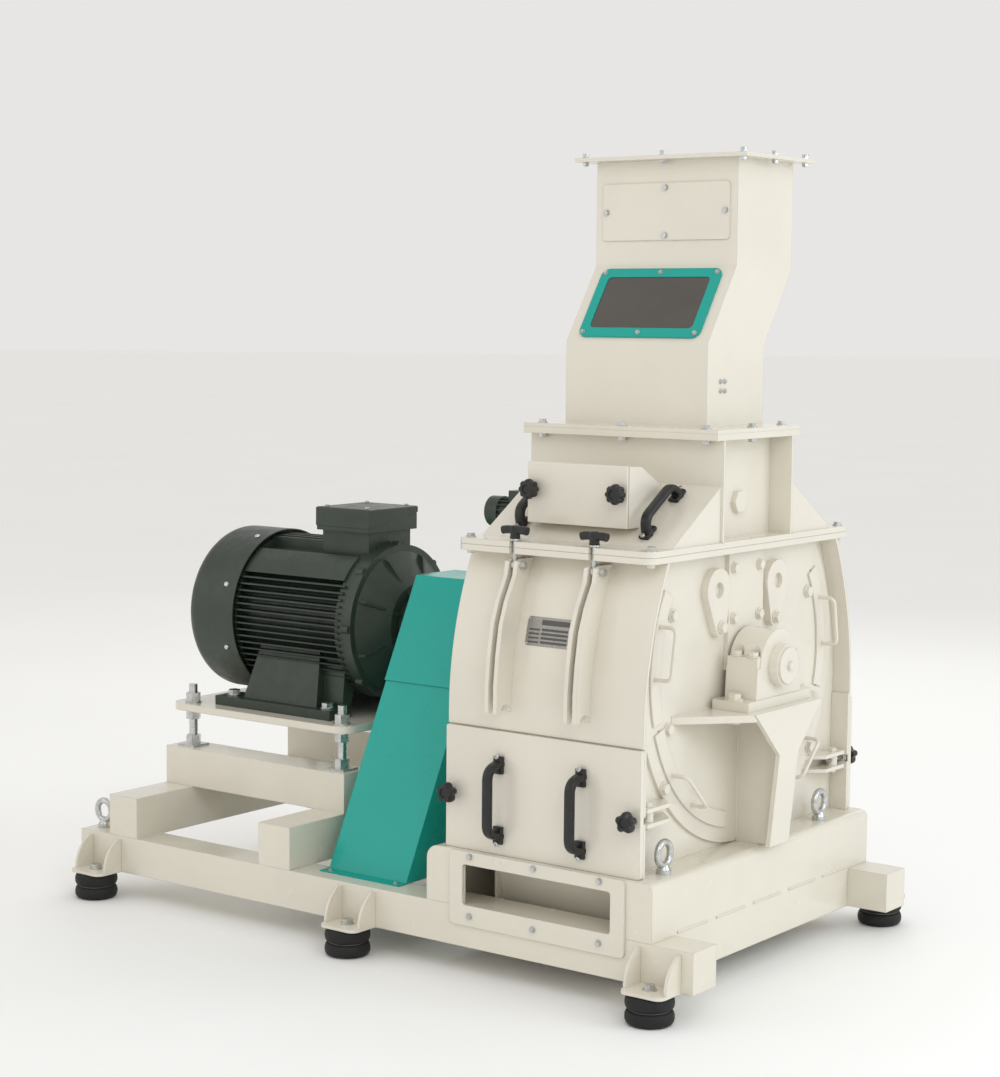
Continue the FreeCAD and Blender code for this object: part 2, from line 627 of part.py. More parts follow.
def make_terminal_box():
    """Box for the supply cable: sloping lid joint, and one open gland at the back."""
    x0, x1 = TERMINAL_X
    y = TERMINAL_Y
    z0, z1 = TERMINAL_Z
    t = 6
    low = [(-y, z0), (y, z0), (y, z0 + 46), (-y, z0 + 12)]
    body = prism("yz", low, x0, x1)
    inner = [(-y + t, z0 + t), (y - t, z0 + t), (y - t, z0 + 60), (-y + t, z0 + 60)]
    body = body.cut(prism("yz", inner, x0 + t, x1 - t))
    gx, gz = GLAND
    gland = hexagon("y", (gx, gz), 38, y, y + 12).fuse(rod("y", (gx, gz), 17, y - t, y + 26))
    body = body.fuse(gland).cut(rod("y", (gx, gz), GLAND_R, y - t - 1, y + 27)).removeSplitter()
    body = drill(body, "z", [((x0 + x1) / 2, 0)], 20, z0 - 1, z0 + t + 1)
    high = [(-y - 2, z0 + 12), (y + 2, z0 + 46.7), (y + 2, z1), (-y - 2, z1)]
    lid = prism("yz", high, x0 - 2, x1 + 2)
    tops = [e for e in lid.Edges if e.BoundBox.ZMin > z1 - 1]
    lid = lid.makeFillet(5, tops)
    hollow = [(-y + t, z0 + 8), (y - t, z0 + 40), (y - t, z1 - t), (-y + t, z1 - t)]
    lid = lid.cut(prism("yz", hollow, x0 + t, x1 - t))
    save("terminal_box", [body, lid])


def make_motor_rotor():
    x0, x1 = FRAME_X
    shaft = fuse_all([
        rod("x", CENTRE, 40, x0 + 30, x1 + 20),
        rod("x", CENTRE, MOTOR_SHAFT_R, x1 + 20, MOTOR_HUB_X[1]),
        rod("x", CENTRE, REAR_SHAFT_R, COWL_X[0] + 60, x0 + 30),
    ])
    save("motor_shaft", shaft)
    save("motor_rotor_core", tube("x", CENTRE, STATOR_R[0] - 1, 40 + FIT, x0 + 60, x1 - 60))
    start = COWL_X[0] + 62
    pieces = [tube("x", CENTRE, 46, REAR_SHAFT_R + FIT, start, start + 46)]
    pieces.append(tube("x", CENTRE, 150, REAR_SHAFT_R + FIT, start + 40, start + 46))
    for k in range(7):
        blade = box(start, start + 42, -3, 3, SHAFT_Z + 40, SHAFT_Z + 190)
        blade.rotate(V(0, 0, SHAFT_Z), V(1, 0, 0), 360 * k / 7)
        pieces.append(blade)
    save("cooling_fan", fuse_all(pieces))


# ---------------------------------------------------------------- coupling and guard
def jaws(x0, x1, first, half):
    """Three jaws round the shaft line, starting at an angle."""
    return [arc_sheet(46, HUB_R - 4, first + 120 * k - half, first + 120 * k + half, x0, x1)
            for k in range(3)]


def make_coupling():
    """Two hubs whose jaws stand in a rubber spider."""
    motor = [tube("x", CENTRE, HUB_R, MOTOR_SHAFT_R + FIT, *MOTOR_HUB_X)]
    motor += jaws(MOTOR_HUB_X[1] - 1, SPIDER_X[1] - 2, 90, 20)
    hub = fuse_all(motor)
    key = rod("y", ((MOTOR_HUB_X[0] + 30), SHAFT_Z), 5, -HUB_R - 1, -HUB_R + 12)
    save("motor_coupling_hub", hub.cut(key))
    rotor = [tube("x", CENTRE, HUB_R, SHAFT_END_R + FIT, *ROTOR_HUB_X)]
    rotor += jaws(SPIDER_X[0] + 1.6, ROTOR_HUB_X[0] + 1, 150, 20)
    hub = fuse_all(rotor)
    save("rotor_coupling_hub", hub)
    ring = [tube("x", CENTRE, 45, 24, *SPIDER_X)]
    for k in range(6):
        ring.append(arc_sheet(44, HUB_R - 4, 120 - 9 + 60 * k, 120 + 9 + 60 * k, *SPIDER_X))
    save("coupling_spider", fuse_all(ring))


def guard_outline(grow, z0, z1):
    """Cross section of the sloping guard between two heights."""
    slope = (GUARD_FOOT_Y - GUARD_TOP_Y) / (GUARD_Z[1] - GUARD_Z[0])
    low = GUARD_FOOT_Y - (z0 - GUARD_Z[0]) * slope + grow
    high = GUARD_FOOT_Y - (z1 - GUARD_Z[0]) * slope + grow
    return [(-low, z0), (low, z0), (high, z1), (-high, z1)]


GUARD_SCREWS = [(x, y) for x in (-700.0, -482.0) for y in (-456.0, 456.0)]


def make_guard():
    """Sheet guard over the coupling: a lower part on the rails and a cap over it."""
    x0, x1 = GUARD_X
    s = GUARD_SHEET
    lip = GUARD_SEAM_Z + 16
    lower = prism("yz", guard_outline(0, GUARD_Z[0], lip), x0, x1)
    lower = lower.cut(prism("yz", guard_outline(-s * 1.15, GUARD_Z[0] - 1, lip + 1), x0 + s, x1 - s))
    pieces = [lower]
    for side in (-1, 1):
        pieces.append(box(x0 - 4, x1 + 2, side * (GUARD_FOOT_Y - 4), side * 472, GUARD_Z[0], GUARD_Z[0] + s))
    lower = fuse_all(pieces)
    save("guard_lower", drill(lower, "z", GUARD_SCREWS, 3.5, GUARD_Z[0] - 1, GUARD_Z[0] + 5))
    cap = prism("yz", guard_outline(s * 1.15 + 0.2, GUARD_SEAM_Z, GUARD_Z[1]), x0 - s, x1 + s)
    cap = cap.cut(prism("yz", guard_outline(0.2, GUARD_SEAM_Z - 1, GUARD_Z[1] - s), x0 - 0.2, x1 + 0.2))
    hole = rod("x", CENTRE, HUB_R + 12, x0 - 10, x1 + 10)
    hole = hole.fuse(box(x0 - 10, x1 + 10, -HUB_R - 12, HUB_R + 12, GUARD_SEAM_Z - 2, SHAFT_Z))
    hole = hole.cut(box(x0 + 20, x1 - 20, -400, 400, 0, 2000))
    save("guard_cap", cap.cut(hole))


# ---------------------------------------------------------------- drum
def shell_y(r, z):
    """Distance of the curved shell from the middle plane at a height, at curve radius r."""
    if z <= SHELL_CURVE_Z:
        return r - SHELL_CENTRE_Y
    return math.sqrt(r ** 2 - (z - SHELL_CURVE_Z) ** 2) - SHELL_CENTRE_Y


def curved_strip(r_out, r_in, z0, z1, x0, x1):
    """Front sheet that follows the drum's curve between two heights."""
    middle = (z0 + z1) / 2
    outer = [V(x0, -shell_y(r_out, z), z) for z in (z0, middle, z1)]
    inner = [V(x0, -shell_y(r_in, z), z) for z in (z1, middle, z0)]
    wire = Part.Wire([
        Part.Arc(*outer).toShape(),
        Part.LineSegment(outer[2], inner[0]).toShape(),
        Part.Arc(*inner).toShape(),
        Part.LineSegment(inner[2], outer[0]).toShape(),
    ])
    return Part.Face(wire).extrude(V(x1 - x0, 0, 0))


def wall_outline(x0, x1):
    """Side wall between the two shells, from the base to the top plate."""
    y = WALL_Y
    r = SHELL_CURVE_R - SHELL_SHEET - 0.3
    top = shell_y(r, DRUM_TOP)
    knee = shell_y(r, SHELL_CURVE_Z)
    mid_z = (SHELL_CURVE_Z + DRUM_TOP) / 2
    mid = shell_y(r, mid_z)
    step = SHELL_CURVE_Z - 20
    points = [V(x0, -y, BASE_TOP), V(x0, -y, step), V(x0, -knee, step), V(x0, -knee, SHELL_CURVE_Z)]
    edges = [Part.LineSegment(a, b).toShape() for a, b in zip(points, points[1:])]
    edges.append(Part.Arc(points[-1], V(x0, -mid, mid_z), V(x0, -top, DRUM_TOP)).toShape())
    edges.append(Part.LineSegment(V(x0, -top, DRUM_TOP), V(x0, top, DRUM_TOP)).toShape())
    other = [V(x0, knee, SHELL_CURVE_Z), V(x0, knee, step), V(x0, y, step), V(x0, y, BASE_TOP), points[0]]
    edges.append(Part.Arc(V(x0, top, DRUM_TOP), V(x0, mid, mid_z), other[0]).toShape())
    edges += [Part.LineSegment(a, b).toShape() for a, b in zip(other, other[1:])]
    return Part.Face(Part.Wire(edges)).extrude(V(x1 - x0, 0, 0))


def screen_sides():
    """Angles of the four screens: name, start and end, and the handle's two feet."""
    sets = []
    for level, span in (("upper", UPPER_SCREEN), ("lower", LOWER_SCREEN)):
        grips = SCREEN_HANDLES[level]
        sets.append(("front_" + level, span, grips))
        sets.append(("back_" + level, (180 - span[1], 180 - span[0]), (180 - grips[1], 180 - grips[0])))
    return sets


WALL_BOLTS = [(-320.0, 903.0), (-331.0, 633.0), (-345.0, 494.0), (320.0, 903.0), (331.0, 633.0), (345.0, 494.0)]
PLATE_BOLTS = [(-60.0, 995.0), (60.0, 995.0), (-60.0, 872.0), (60.0, 872.0)]
CAM_CENTRE = (140.0, 948.0)
CAM_FOOT = (130.0, 857.0)


def side_wall():
    """Right side wall with its disc, cover plates and the two clamp brackets."""
    wall = wall_outline(*WALL_X)
    disc = rod("x", CENTRE, DISC_R, WALL_X[1], DISC_X)
    disc = disc.common(box(0, 400, -470, 470, BASE_TOP, DRUM_TOP))
    back = box(DISC_X, DISC_X + 11, -82, 82, 745, 1030)
    solid = fuse_all([wall, disc, back])
    for side in (-1, 1):
        centre = (side * CAM_CENTRE[0], CAM_CENTRE[1])
        foot = (side * CAM_FOOT[0], CAM_FOOT[1])
        cam = tear_drop(centre, 53.0, foot, 24.0, DISC_X, DISC_X + 20)
        cam = cam.cut(rod("x", centre, 19, DISC_X + 8, DISC_X + 30))
        solid = solid.fuse(cam)
        for z0, z1 in CLAMP_PLATES_Z:
            y0, y1 = sorted((side * 330.0, side * 480.0))
            bracket = box(WALL_X[1], CLAMP_X + 20, y0, y1, z0, z1)
            far = side * 480.0
            bracket = bracket.cut(prism("xy", [(CLAMP_X + 21, far + side), (CLAMP_X + 21, far - side * 10),
                                               (CLAMP_X - 6, far + side)], z0 - 1, z1 + 1))
            near = side * 330.0
            bracket = bracket.cut(prism("xy", [(CLAMP_X + 21, near - side), (CLAMP_X + 21, near + side * 46),
                                               (CLAMP_X - 26, near - side)], z0 - 1, z1 + 1))
            solid = solid.fuse(bracket)
            solid = solid.cut(rod("z", (CLAMP_X, side * CLAMP_Y), 9 + HOLE_SLACK, z0 - 1, z1 + 1))
    solid = solid.cut(rod("x", CENTRE, SHAFT_HOLE_R, WALL_X[0] - 1, DISC_X + 30))
    solid = drill(solid, "x", WALL_BOLTS + PLATE_BOLTS, 8 + HOLE_SLACK, WALL_X[0] - 1, DISC_X + 12)
    foot_holes = [(side * CAM_FOOT[0], CAM_FOOT[1]) for side in (-1, 1)]
    solid = drill(solid, "x", foot_holes, 8 + HOLE_SLACK, WALL_X[0] - 1, DISC_X + 21)
    return solid.removeSplitter()


def tear_drop(centre, r, foot, foot_r, x0, x1):
    """Pear-shaped plate: two round ends joined by straight sides."""
    dy = foot[0] - centre[0]
    dz = foot[1] - centre[1]
    length = math.hypot(dy, dz)
    uy, uz = dy / length, dz / length
    cosine = (r - foot_r) / length
    sine = math.sqrt(1 - cosine ** 2)
    corners = []
    for sign in (1, -1):
        ny = uy * cosine - sign * uz * sine
        nz = uz * cosine + sign * uy * sine
        corners.append((centre[0] + ny * r, centre[1] + nz * r))
        corners.append((foot[0] + ny * foot_r, foot[1] + nz * foot_r))
    body = prism("yz", [corners[0], corners[1], corners[3], corners[2]], x0, x1)
    return fuse_all([body, rod("x", centre, r, x0, x1), rod("x", foot, foot_r, x0, x1)])


def make_side_walls():
    """Both side walls; the right one also has the slots that the screens pass."""
    right = side_wall()
    left = mirror_x(right)
    for name, span, grips in screen_sides():
        a0, a1 = span
        slack = math.degrees(SLOT_GAP / SCREEN_R[0])
        right = right.cut(arc_sheet(SCREEN_R[0] - SLOT_GAP, SCREEN_R[1] + SLOT_GAP, a0 - slack, a1 + slack,
                                    WALL_X[0] - 1, DISC_X + 1))
    save("side_walls", [left, right])


def rib(x0, x1):
    """Clamp rib of the front shell: a bent edge, a notch underneath and an ear on top."""
    edge = [(-452.0, 1024.0), (-472.0, 1018.0), (-478.0, 985.0), (-510.0, 927.0), (-530.0, 873.0),
            (-543.0, 797.0), (-550.0, 727.0), (-550.0, 660.0), (-470.0, 660.0), (-380.0, 1010.0),
            (-400.0, 1024.0)]
    solid = prism("yz", edge, x0, x1)
    solid = solid.cut(rod("x", (-516, 660), 19, x0 - 1, x1 + 1))
    inside = rod("x", (SHELL_CENTRE_Y, SHELL_CURVE_Z), SHELL_CURVE_R - SHELL_SHEET / 2, x0 - 1, x1 + 1)
    solid = solid.cut(inside)
    return solid.cut(rod("x", (-TBOLT_Y, TBOLT_Z), TBOLT_R + RUNNING, x0 - 1, x1 + 1))


def front_shell():
    """Curved front sheet with its ribs, and the flat seat of the lower panel below."""
    step = SHELL_CURVE_Z - 20
    r = SHELL_CURVE_R
    upper = curved_strip(r, r - SHELL_SHEET, SHELL_CURVE_Z, DRUM_TOP, -SHELL_X, SHELL_X)
    band = box(-SHELL_X, SHELL_X, -shell_y(r, 0), -shell_y(r - SHELL_SHEET, 0), step - 6, SHELL_CURVE_Z)
    ledge = box(-SHELL_X, SHELL_X, -shell_y(r, 0), -SEAT_Y[0], step - 6, step)
    seat = box(-SHELL_X, SHELL_X, -SEAT_Y[1], -SEAT_Y[0], BASE_TOP, step)
    seat = seat.cut(plate("y", -212, 212, BASE_TOP + 24, step - 36, -SEAT_Y[1] - 1, -SEAT_Y[0] + 1, 20))
    solid = fuse_all([upper, band, ledge, seat])
    for x in (-TBOLT_X, TBOLT_X):
        for x0, x1 in ((x - RIB_GAP / 2 - RIB_SHEET, x - RIB_GAP / 2), (x + RIB_GAP / 2, x + RIB_GAP / 2 + RIB_SHEET)):
            solid = solid.fuse(rib(x0, x1))
    for side in (-1, 1):
        notch = box(side * (CLAMP_X - 9), side * (SHELL_X + 1), -SEAT_Y[1] - 1, -SEAT_Y[0] + 1,
                    CLAMP_Z - 9, CLAMP_Z + 9)
        solid = solid.cut(notch)
    return solid.removeSplitter()


def top_plate(z0, z1):
    """Flat plate over the drum, open in the middle and slotted for the four T-bolts."""
    solid = plate("z", -TOP_PLATE_X, TOP_PLATE_X, -TOP_PLATE_Y, TOP_PLATE_Y, z0, z1, 30)
    ox, oy = TOP_OPENING
    solid = solid.cut(box(-ox, ox, -oy, oy, z0 - 1, z1 + 1))
    for x in (-TBOLT_X, TBOLT_X):
        for side in (-1, 1):
            solid = solid.cut(box(x - 7.5, x + 7.5, side * (TBOLT_Y - 4), side * (TOP_PLATE_Y + 5), z0 - 1, z1 + 1))
            solid = solid.cut(rod("z", (x, side * (TBOLT_Y - 4)), 7.5, z0 - 1, z1 + 1))
    return solid


TOP_PLATE_BOLTS = [(x, y) for x in (-262.0, 262.0) for y in (-440.0, 0.0, 440.0)]


def make_drum():
    make_side_walls()
    lower = top_plate(*TOP_PLATE_Z)
    save("drum_top_plate", drill(lower, "z", TOP_PLATE_BOLTS, 6.5, TOP_PLATE_Z[0] - 1, TOP_PLATE_Z[1] + 1))
    shell = front_shell()
    save("front_shell", shell)
    save("back_shell", mirror_y(shell))
    liners = []
    for a0, a1, half in ((112, 133, TOP_OPENING[0]), (137, 148.5, WALL_X[0])):
        for first, last in ((a0, a1), (180 - a1, 180 - a0)):
            liners.append(arc_sheet(386, 397, first, last, -half, half))
    liners.append(arc_sheet(386, 397, 262.5, 277.5, -WALL_X[0], WALL_X[0]))
    for name, span, grips in screen_sides():
        for a in (span[0] + 2, span[1] - 2):
            liners.append(arc_sheet(SCREEN_R[1] + 0.8, SCREEN_R[1] + 11, a - 1.4, a + 1.4, -WALL_X[0], WALL_X[0]))
    save("wear_plates", liners)


def make_screens():
    """Curved screens on arc-shaped end plates, each with a wire handle outside the wall."""
    for name, span, grips in screen_sides():
        sheet = arc_sheet(SCREEN_R[0], SCREEN_R[1], span[0], span[1], -WALL_X[0] + 1.5, DISC_X + 1)
        end = arc_sheet(SCREEN_END_R[0], SCREEN_END_R[1], span[0], span[1], DISC_X + 0.5, DISC_X + 5.5)
        feet = [polar(396, a) for a in grips]
        near = DISC_X + 3
        far = DISC_X + 50
        path = [V(near, *feet[0]), V(far, *feet[0]), V(far, *feet[1]), V(near, *feet[1])]
        handle = bar_handle(path, 5)
        save("screen_" + name, fuse_all([sheet, end, handle]))


def panel():
    """Lower front panel: a shallow tray with folded edges and notches for the clamps."""
    y0, y1 = -PANEL_Y[1], -PANEL_Y[0]
    tray = plate("y", -SHELL_X, SHELL_X, PANEL_Z[0], PANEL_Z[1], y0, y1, 6)
    s = PANEL_SHEET
    tray = tray.cut(box(-SHELL_X + s, SHELL_X - s, y0 + s, y1 + 1, PANEL_Z[0] + s, PANEL_Z[1] - s))
    for x in (-CLAMP_X, CLAMP_X):
        boss = rod("y", (x, CLAMP_Z), 15, y0, y1)
        tray = tray.fuse(boss)
        tray = tray.cut(rod("y", (x, CLAMP_Z), CLAMP_R + 0.3, y0 - 1, y1 + 1))
    return tray.removeSplitter()


def bridge_handle(path, r):
    """Plastic bridge handle with a round foot at each end."""
    bar = bar_handle(path, r)
    feet = []
    for end, inner in ((path[0], path[1]), (path[-1], path[-2])):
        direction = (inner - end).normalize()
        feet.append(Part.makeCylinder(r * 1.5, 8, end, direction))
    return fuse_all([bar] + feet)


def lobe_knob(axis_x, z, y0, y1, r, lobes, stud_to=None):
    """Plastic knob with rounded lobes about a Y axis; the front one stands toward -Y."""
    pieces = [rod("y", (axis_x, z), r * 0.72, y0, y1)]
    for k in range(lobes):
        angle = math.radians(360.0 * k / lobes + 90)
        place = (axis_x + r * 0.66 * math.cos(angle), z + r * 0.66 * math.sin(angle))
        pieces.append(rod("y", place, r * 0.34, y0, y1))
    lo, hi = sorted((y0, y1))
    near = hi
    pieces.append(rod("y", (axis_x, z), r * 0.45, near - 1, near + 10))
    if stud_to is not None:
        pieces.append(rod("y", (axis_x, z), CLAMP_R, near, stud_to))
    return fuse_all(pieces)


def make_panels():
    front = panel()
    save("front_panel", front)
    save("back_panel", mirror_y(front))
    face = -PANEL_Y[1]
    handles = []
    for x in (-120.0, 120.0):
        path = [V(x, face, 355), V(x, face - 52, 355), V(x, face - 52, 534), V(x, face, 534)]
        handles.append(bridge_handle(path, 9))
    save("front_panel_handles", handles)
    save("back_panel_handles", [mirror_y(h) for h in handles])
    for side, x in (("left", -CLAMP_X), ("right", CLAMP_X)):
        screw = lobe_knob(x, CLAMP_Z, face - 40, face - 14, 26, 5, -CLAMP_Y + 22)
        collar = rod("y", (x, CLAMP_Z), 11, face - 4.2, face - 0.2)
        screw = fuse_all([screw, collar])
        save("clamp_screw_front_" + side, screw)
        save("clamp_screw_back_" + side, mirror_y(screw))


def make_t_bolts():
    """Swing bolt with an eye on the rib's pin, a washer and a T-shaped knob."""
    for side, x in (("left", -TBOLT_X), ("right", TBOLT_X)):
        seat = INLET_PLATE_Z[1] + KNOB_LIFT
        eye = rod("x", (-TBOLT_Y, TBOLT_Z), TBOLT_EYE_R, x - 6.5, x + 6.5)
        stem = rod("z", (x, -TBOLT_Y), TBOLT_R, TBOLT_Z, seat + 10)
        washer = rod("z", (x, -TBOLT_Y), 13, seat, seat + 4)
        neck = Part.makeCone(12, 9, 12, V(x, -TBOLT_Y, seat + 4), V(0, 0, 1))
        grip = plate("y", x - 36, x + 36, seat + 15, seat + 36, -TBOLT_Y - 10, -TBOLT_Y + 10, 8)
        solid = fuse_all([eye, stem, washer, neck, grip])
        solid = solid.cut(rod("x", (-TBOLT_Y, TBOLT_Z), TBOLT_R + RUNNING, x - 8, x + 8))
        save("t_bolt_front_" + side, solid)
        save("t_bolt_back_" + side, mirror_y(solid))


# ---------------------------------------------------------------- rotor and its bearings
def make_rotor():
    pieces = [rod("x", CENTRE, SHAFT_R, -246, 246)]
    pieces.append(rod("x", CENTRE, JOURNAL_R, -400, 368))
    pieces.append(rod("x", CENTRE, SHAFT_END_R, ROTOR_HUB_X[0] + 4, -400))
    save("rotor_shaft", fuse_all(pieces))
    pitch = (2 * ROTOR_HALF - ROTOR_DISC_SHEET) / (ROTOR_DISCS - 1)
    pins = [(PIN_CIRCLE_R * math.cos(math.radians(45 + 90 * k)),
             SHAFT_Z + PIN_CIRCLE_R * math.sin(math.radians(45 + 90 * k))) for k in range(4)]
    starts = [-ROTOR_HALF + pitch * k for k in range(ROTOR_DISCS)]
    discs = []
    for x in starts:
        disc = tube("x", CENTRE, ROTOR_DISC_R, SHAFT_R + FIT, x, x + ROTOR_DISC_SHEET)
        discs.append(drill(disc, "x", pins, PIN_R + FIT, x - 1, x + ROTOR_DISC_SHEET + 1))
    save("rotor_discs", discs)
    half = ROTOR_HALF + 2
    rods = []
    for centre in pins:
        rods.append(rod("x", centre, PIN_R, -half, half).fuse(rod("x", centre, 17, half, half + 4)).removeSplitter())
    save("hammer_pins", rods)
    hammers = []
    for row, centre in enumerate(pins):
        for k in range(ROTOR_DISCS - 1):
            gap = starts[k] + ROTOR_DISC_SHEET
            x = gap + 6 + (row % 2) * 20
            hammer = box(x, x + HAMMER_SHEET, -HAMMER_WIDTH / 2, HAMMER_WIDTH / 2,
                         SHAFT_Z + PIN_CIRCLE_R - 24, SHAFT_Z + HAMMER_TIP_R - 2)
            hammer = hammer.fuse(rod("x", (0, SHAFT_Z + PIN_CIRCLE_R - 24), HAMMER_WIDTH / 2, x, x + HAMMER_SHEET))
            hammer = hammer.cut(rod("x", (0, SHAFT_Z + PIN_CIRCLE_R), PIN_R + FIT, x - 1, x + HAMMER_SHEET + 1))
            hammer = hammer.removeSplitter()
            hammer.rotate(V(0, 0, SHAFT_Z), V(1, 0, 0), -45 + 90 * row)
            hammers.append(hammer)
    save("hammers", hammers)


BLOCK_BOLTS = [(304.0, y) for y in (-128.0, 128.0)]
CAP_BOLTS = [(x, y) for x in (284.0, 330.0) for y in (-88.0, 88.0)]
CAP_EAR_Z = 786.0


def bearing_block(closed):
    """Split plummer block on the right shelf: base, cap and, at the free end, a closed cover."""
    x0, x1 = BLOCK_BODY_X
    slab = box(BLOCK_X[0], BLOCK_X[1], -BLOCK_Y, BLOCK_Y, *BLOCK_Z)
    trunk = prism("yz", [(-106, BLOCK_Z[1]), (106, BLOCK_Z[1]), (101, SHAFT_Z), (-101, SHAFT_Z)], x0, x1)
    ring = rod("x", CENTRE, 52, x1, x1 + 24)
    whole = fuse_all([slab, trunk, rod("x", CENTRE, 88, x0, x1), ring])
    ears = box(x0 + 2, x1 - 2, -101, 101, SHAFT_Z, CAP_EAR_Z)
    dome = rod("x", CENTRE, 88, x0, x1)
    top = fuse_all([dome, ears, rod("x", CENTRE, 52, x1, x1 + 24)])
    top = drill(top, "z", CAP_BOLTS, 17, CAP_EAR_Z, CAP_EAR_Z + 60)
    below = box(0, 600, -400, 400, 0, SHAFT_Z)
    above = box(0, 600, -400, 400, SHAFT_Z, 1200)
    lower = whole.common(below)
    upper = top.common(above)
    cover = rod("x", CENTRE, 45, x1 + 24, x1 + 30)
    cover = cover.fuse(hexagon("x", CENTRE, 20, x1 + 30, x1 + 38)).removeSplitter()
    end = x1 + 24 if closed else x1 + 60
    bore = rod("x", CENTRE, JOURNAL_R + 2, x0 - 20, end)
    bore = bore.fuse(rod("x", CENTRE, BEARING_R + FIT, *BEARING_X))
    lower = lower.cut(bore)
    upper = upper.cut(bore)
    lower = drill(lower, "z", BLOCK_BOLTS, 10 + HOLE_SLACK, BLOCK_Z[0] - 1, BLOCK_Z[1] + 1)
    lower = drill(lower, "z", CAP_BOLTS, 8 + HOLE_SLACK, 732, SHAFT_Z + 1)
    upper = drill(upper, "z", CAP_BOLTS, 8 + HOLE_SLACK, SHAFT_Z - 1, CAP_EAR_Z + 1)
    pieces = [lower.removeSplitter(), upper.removeSplitter()]
    if closed:
        pieces.append(cover)
    return pieces


def shelf():
    """Welded shelf under a bearing: tapered top, tapered end plate and an upright web."""
    top = prism("xy", [(DISC_X, -316), (380, -163), (380, 163), (DISC_X, 316)], *SHELF_Z)
    face = prism("yz", [(-163, SHELF_Z[1]), (163, SHELF_Z[1]), (46, 546), (-46, 546)], 372, 384)
    leg = prism("xz", [(372, 546), (384, 546), (361, BASE_TOP + 6), (349, BASE_TOP + 6)], -46, 46)
    web = prism("xz", [(DISC_X, SHELF_Z[0]), (373, SHELF_Z[0]), (373, 546), (352, BASE_TOP + 8),
                       (305, BASE_TOP), (DISC_X, BASE_TOP)], -8, 8)
    solid = fuse_all([top, face, leg, web])
    return drill(solid, "z", BLOCK_BOLTS, 10 + HOLE_SLACK, SHELF_Z[0] - 1, SHELF_Z[1] + 1)


def make_bearings():
    right = bearing_block(True)
    left = [mirror_x(piece) for piece in bearing_block(False)]
    save("plummer_blocks", right + left)
    save("bearing_shelves", [shelf(), mirror_x(shelf())])
    inserts = [tube("x", CENTRE, BEARING_R, JOURNAL_R + RUNNING, *BEARING_X)]
    inserts.append(mirror_x(inserts[0]))
    inserts.append(tube("x", CENTRE, MOTOR_BEARING_R, MOTOR_SHAFT_R + RUNNING, *MOTOR_BEARING_X))
    inserts.append(tube("x", CENTRE, REAR_BEARING_R, REAR_SHAFT_R + RUNNING, *REAR_BEARING_X))
    save("shaft_bearings", inserts)


# ---------------------------------------------------------------- inlet
def slope_z(y, drop=0.0):
    """Height of the wedge's sloping sheet at a distance from the middle plane."""
    share = (WEDGE_Y - abs(y)) / (WEDGE_Y - INLET_Y)
    return INLET_PLATE_Z[1] + share * (WEDGE_Z - INLET_PLATE_Z[1]) - drop


def hood_outline(inset):
    """Side view of the magnet housing on the front wedge."""
    i = inset
    return [(-HOOD_Y + (1 if i else 0) * -2, HOOD_Z[0] + i), (-HOOD_Y + (1 if i else 0) * -2, HOOD_Z[1] - 1 - i),
            (-309 + i * 0.3, 1248 - i), (-241 + i * 0.6, 1211 - i), (-196, 1183 - i), (-196, slope_z(-196, 4)),
            (-316, slope_z(-316, 4)), (-316, HOOD_Z[0] + i)]


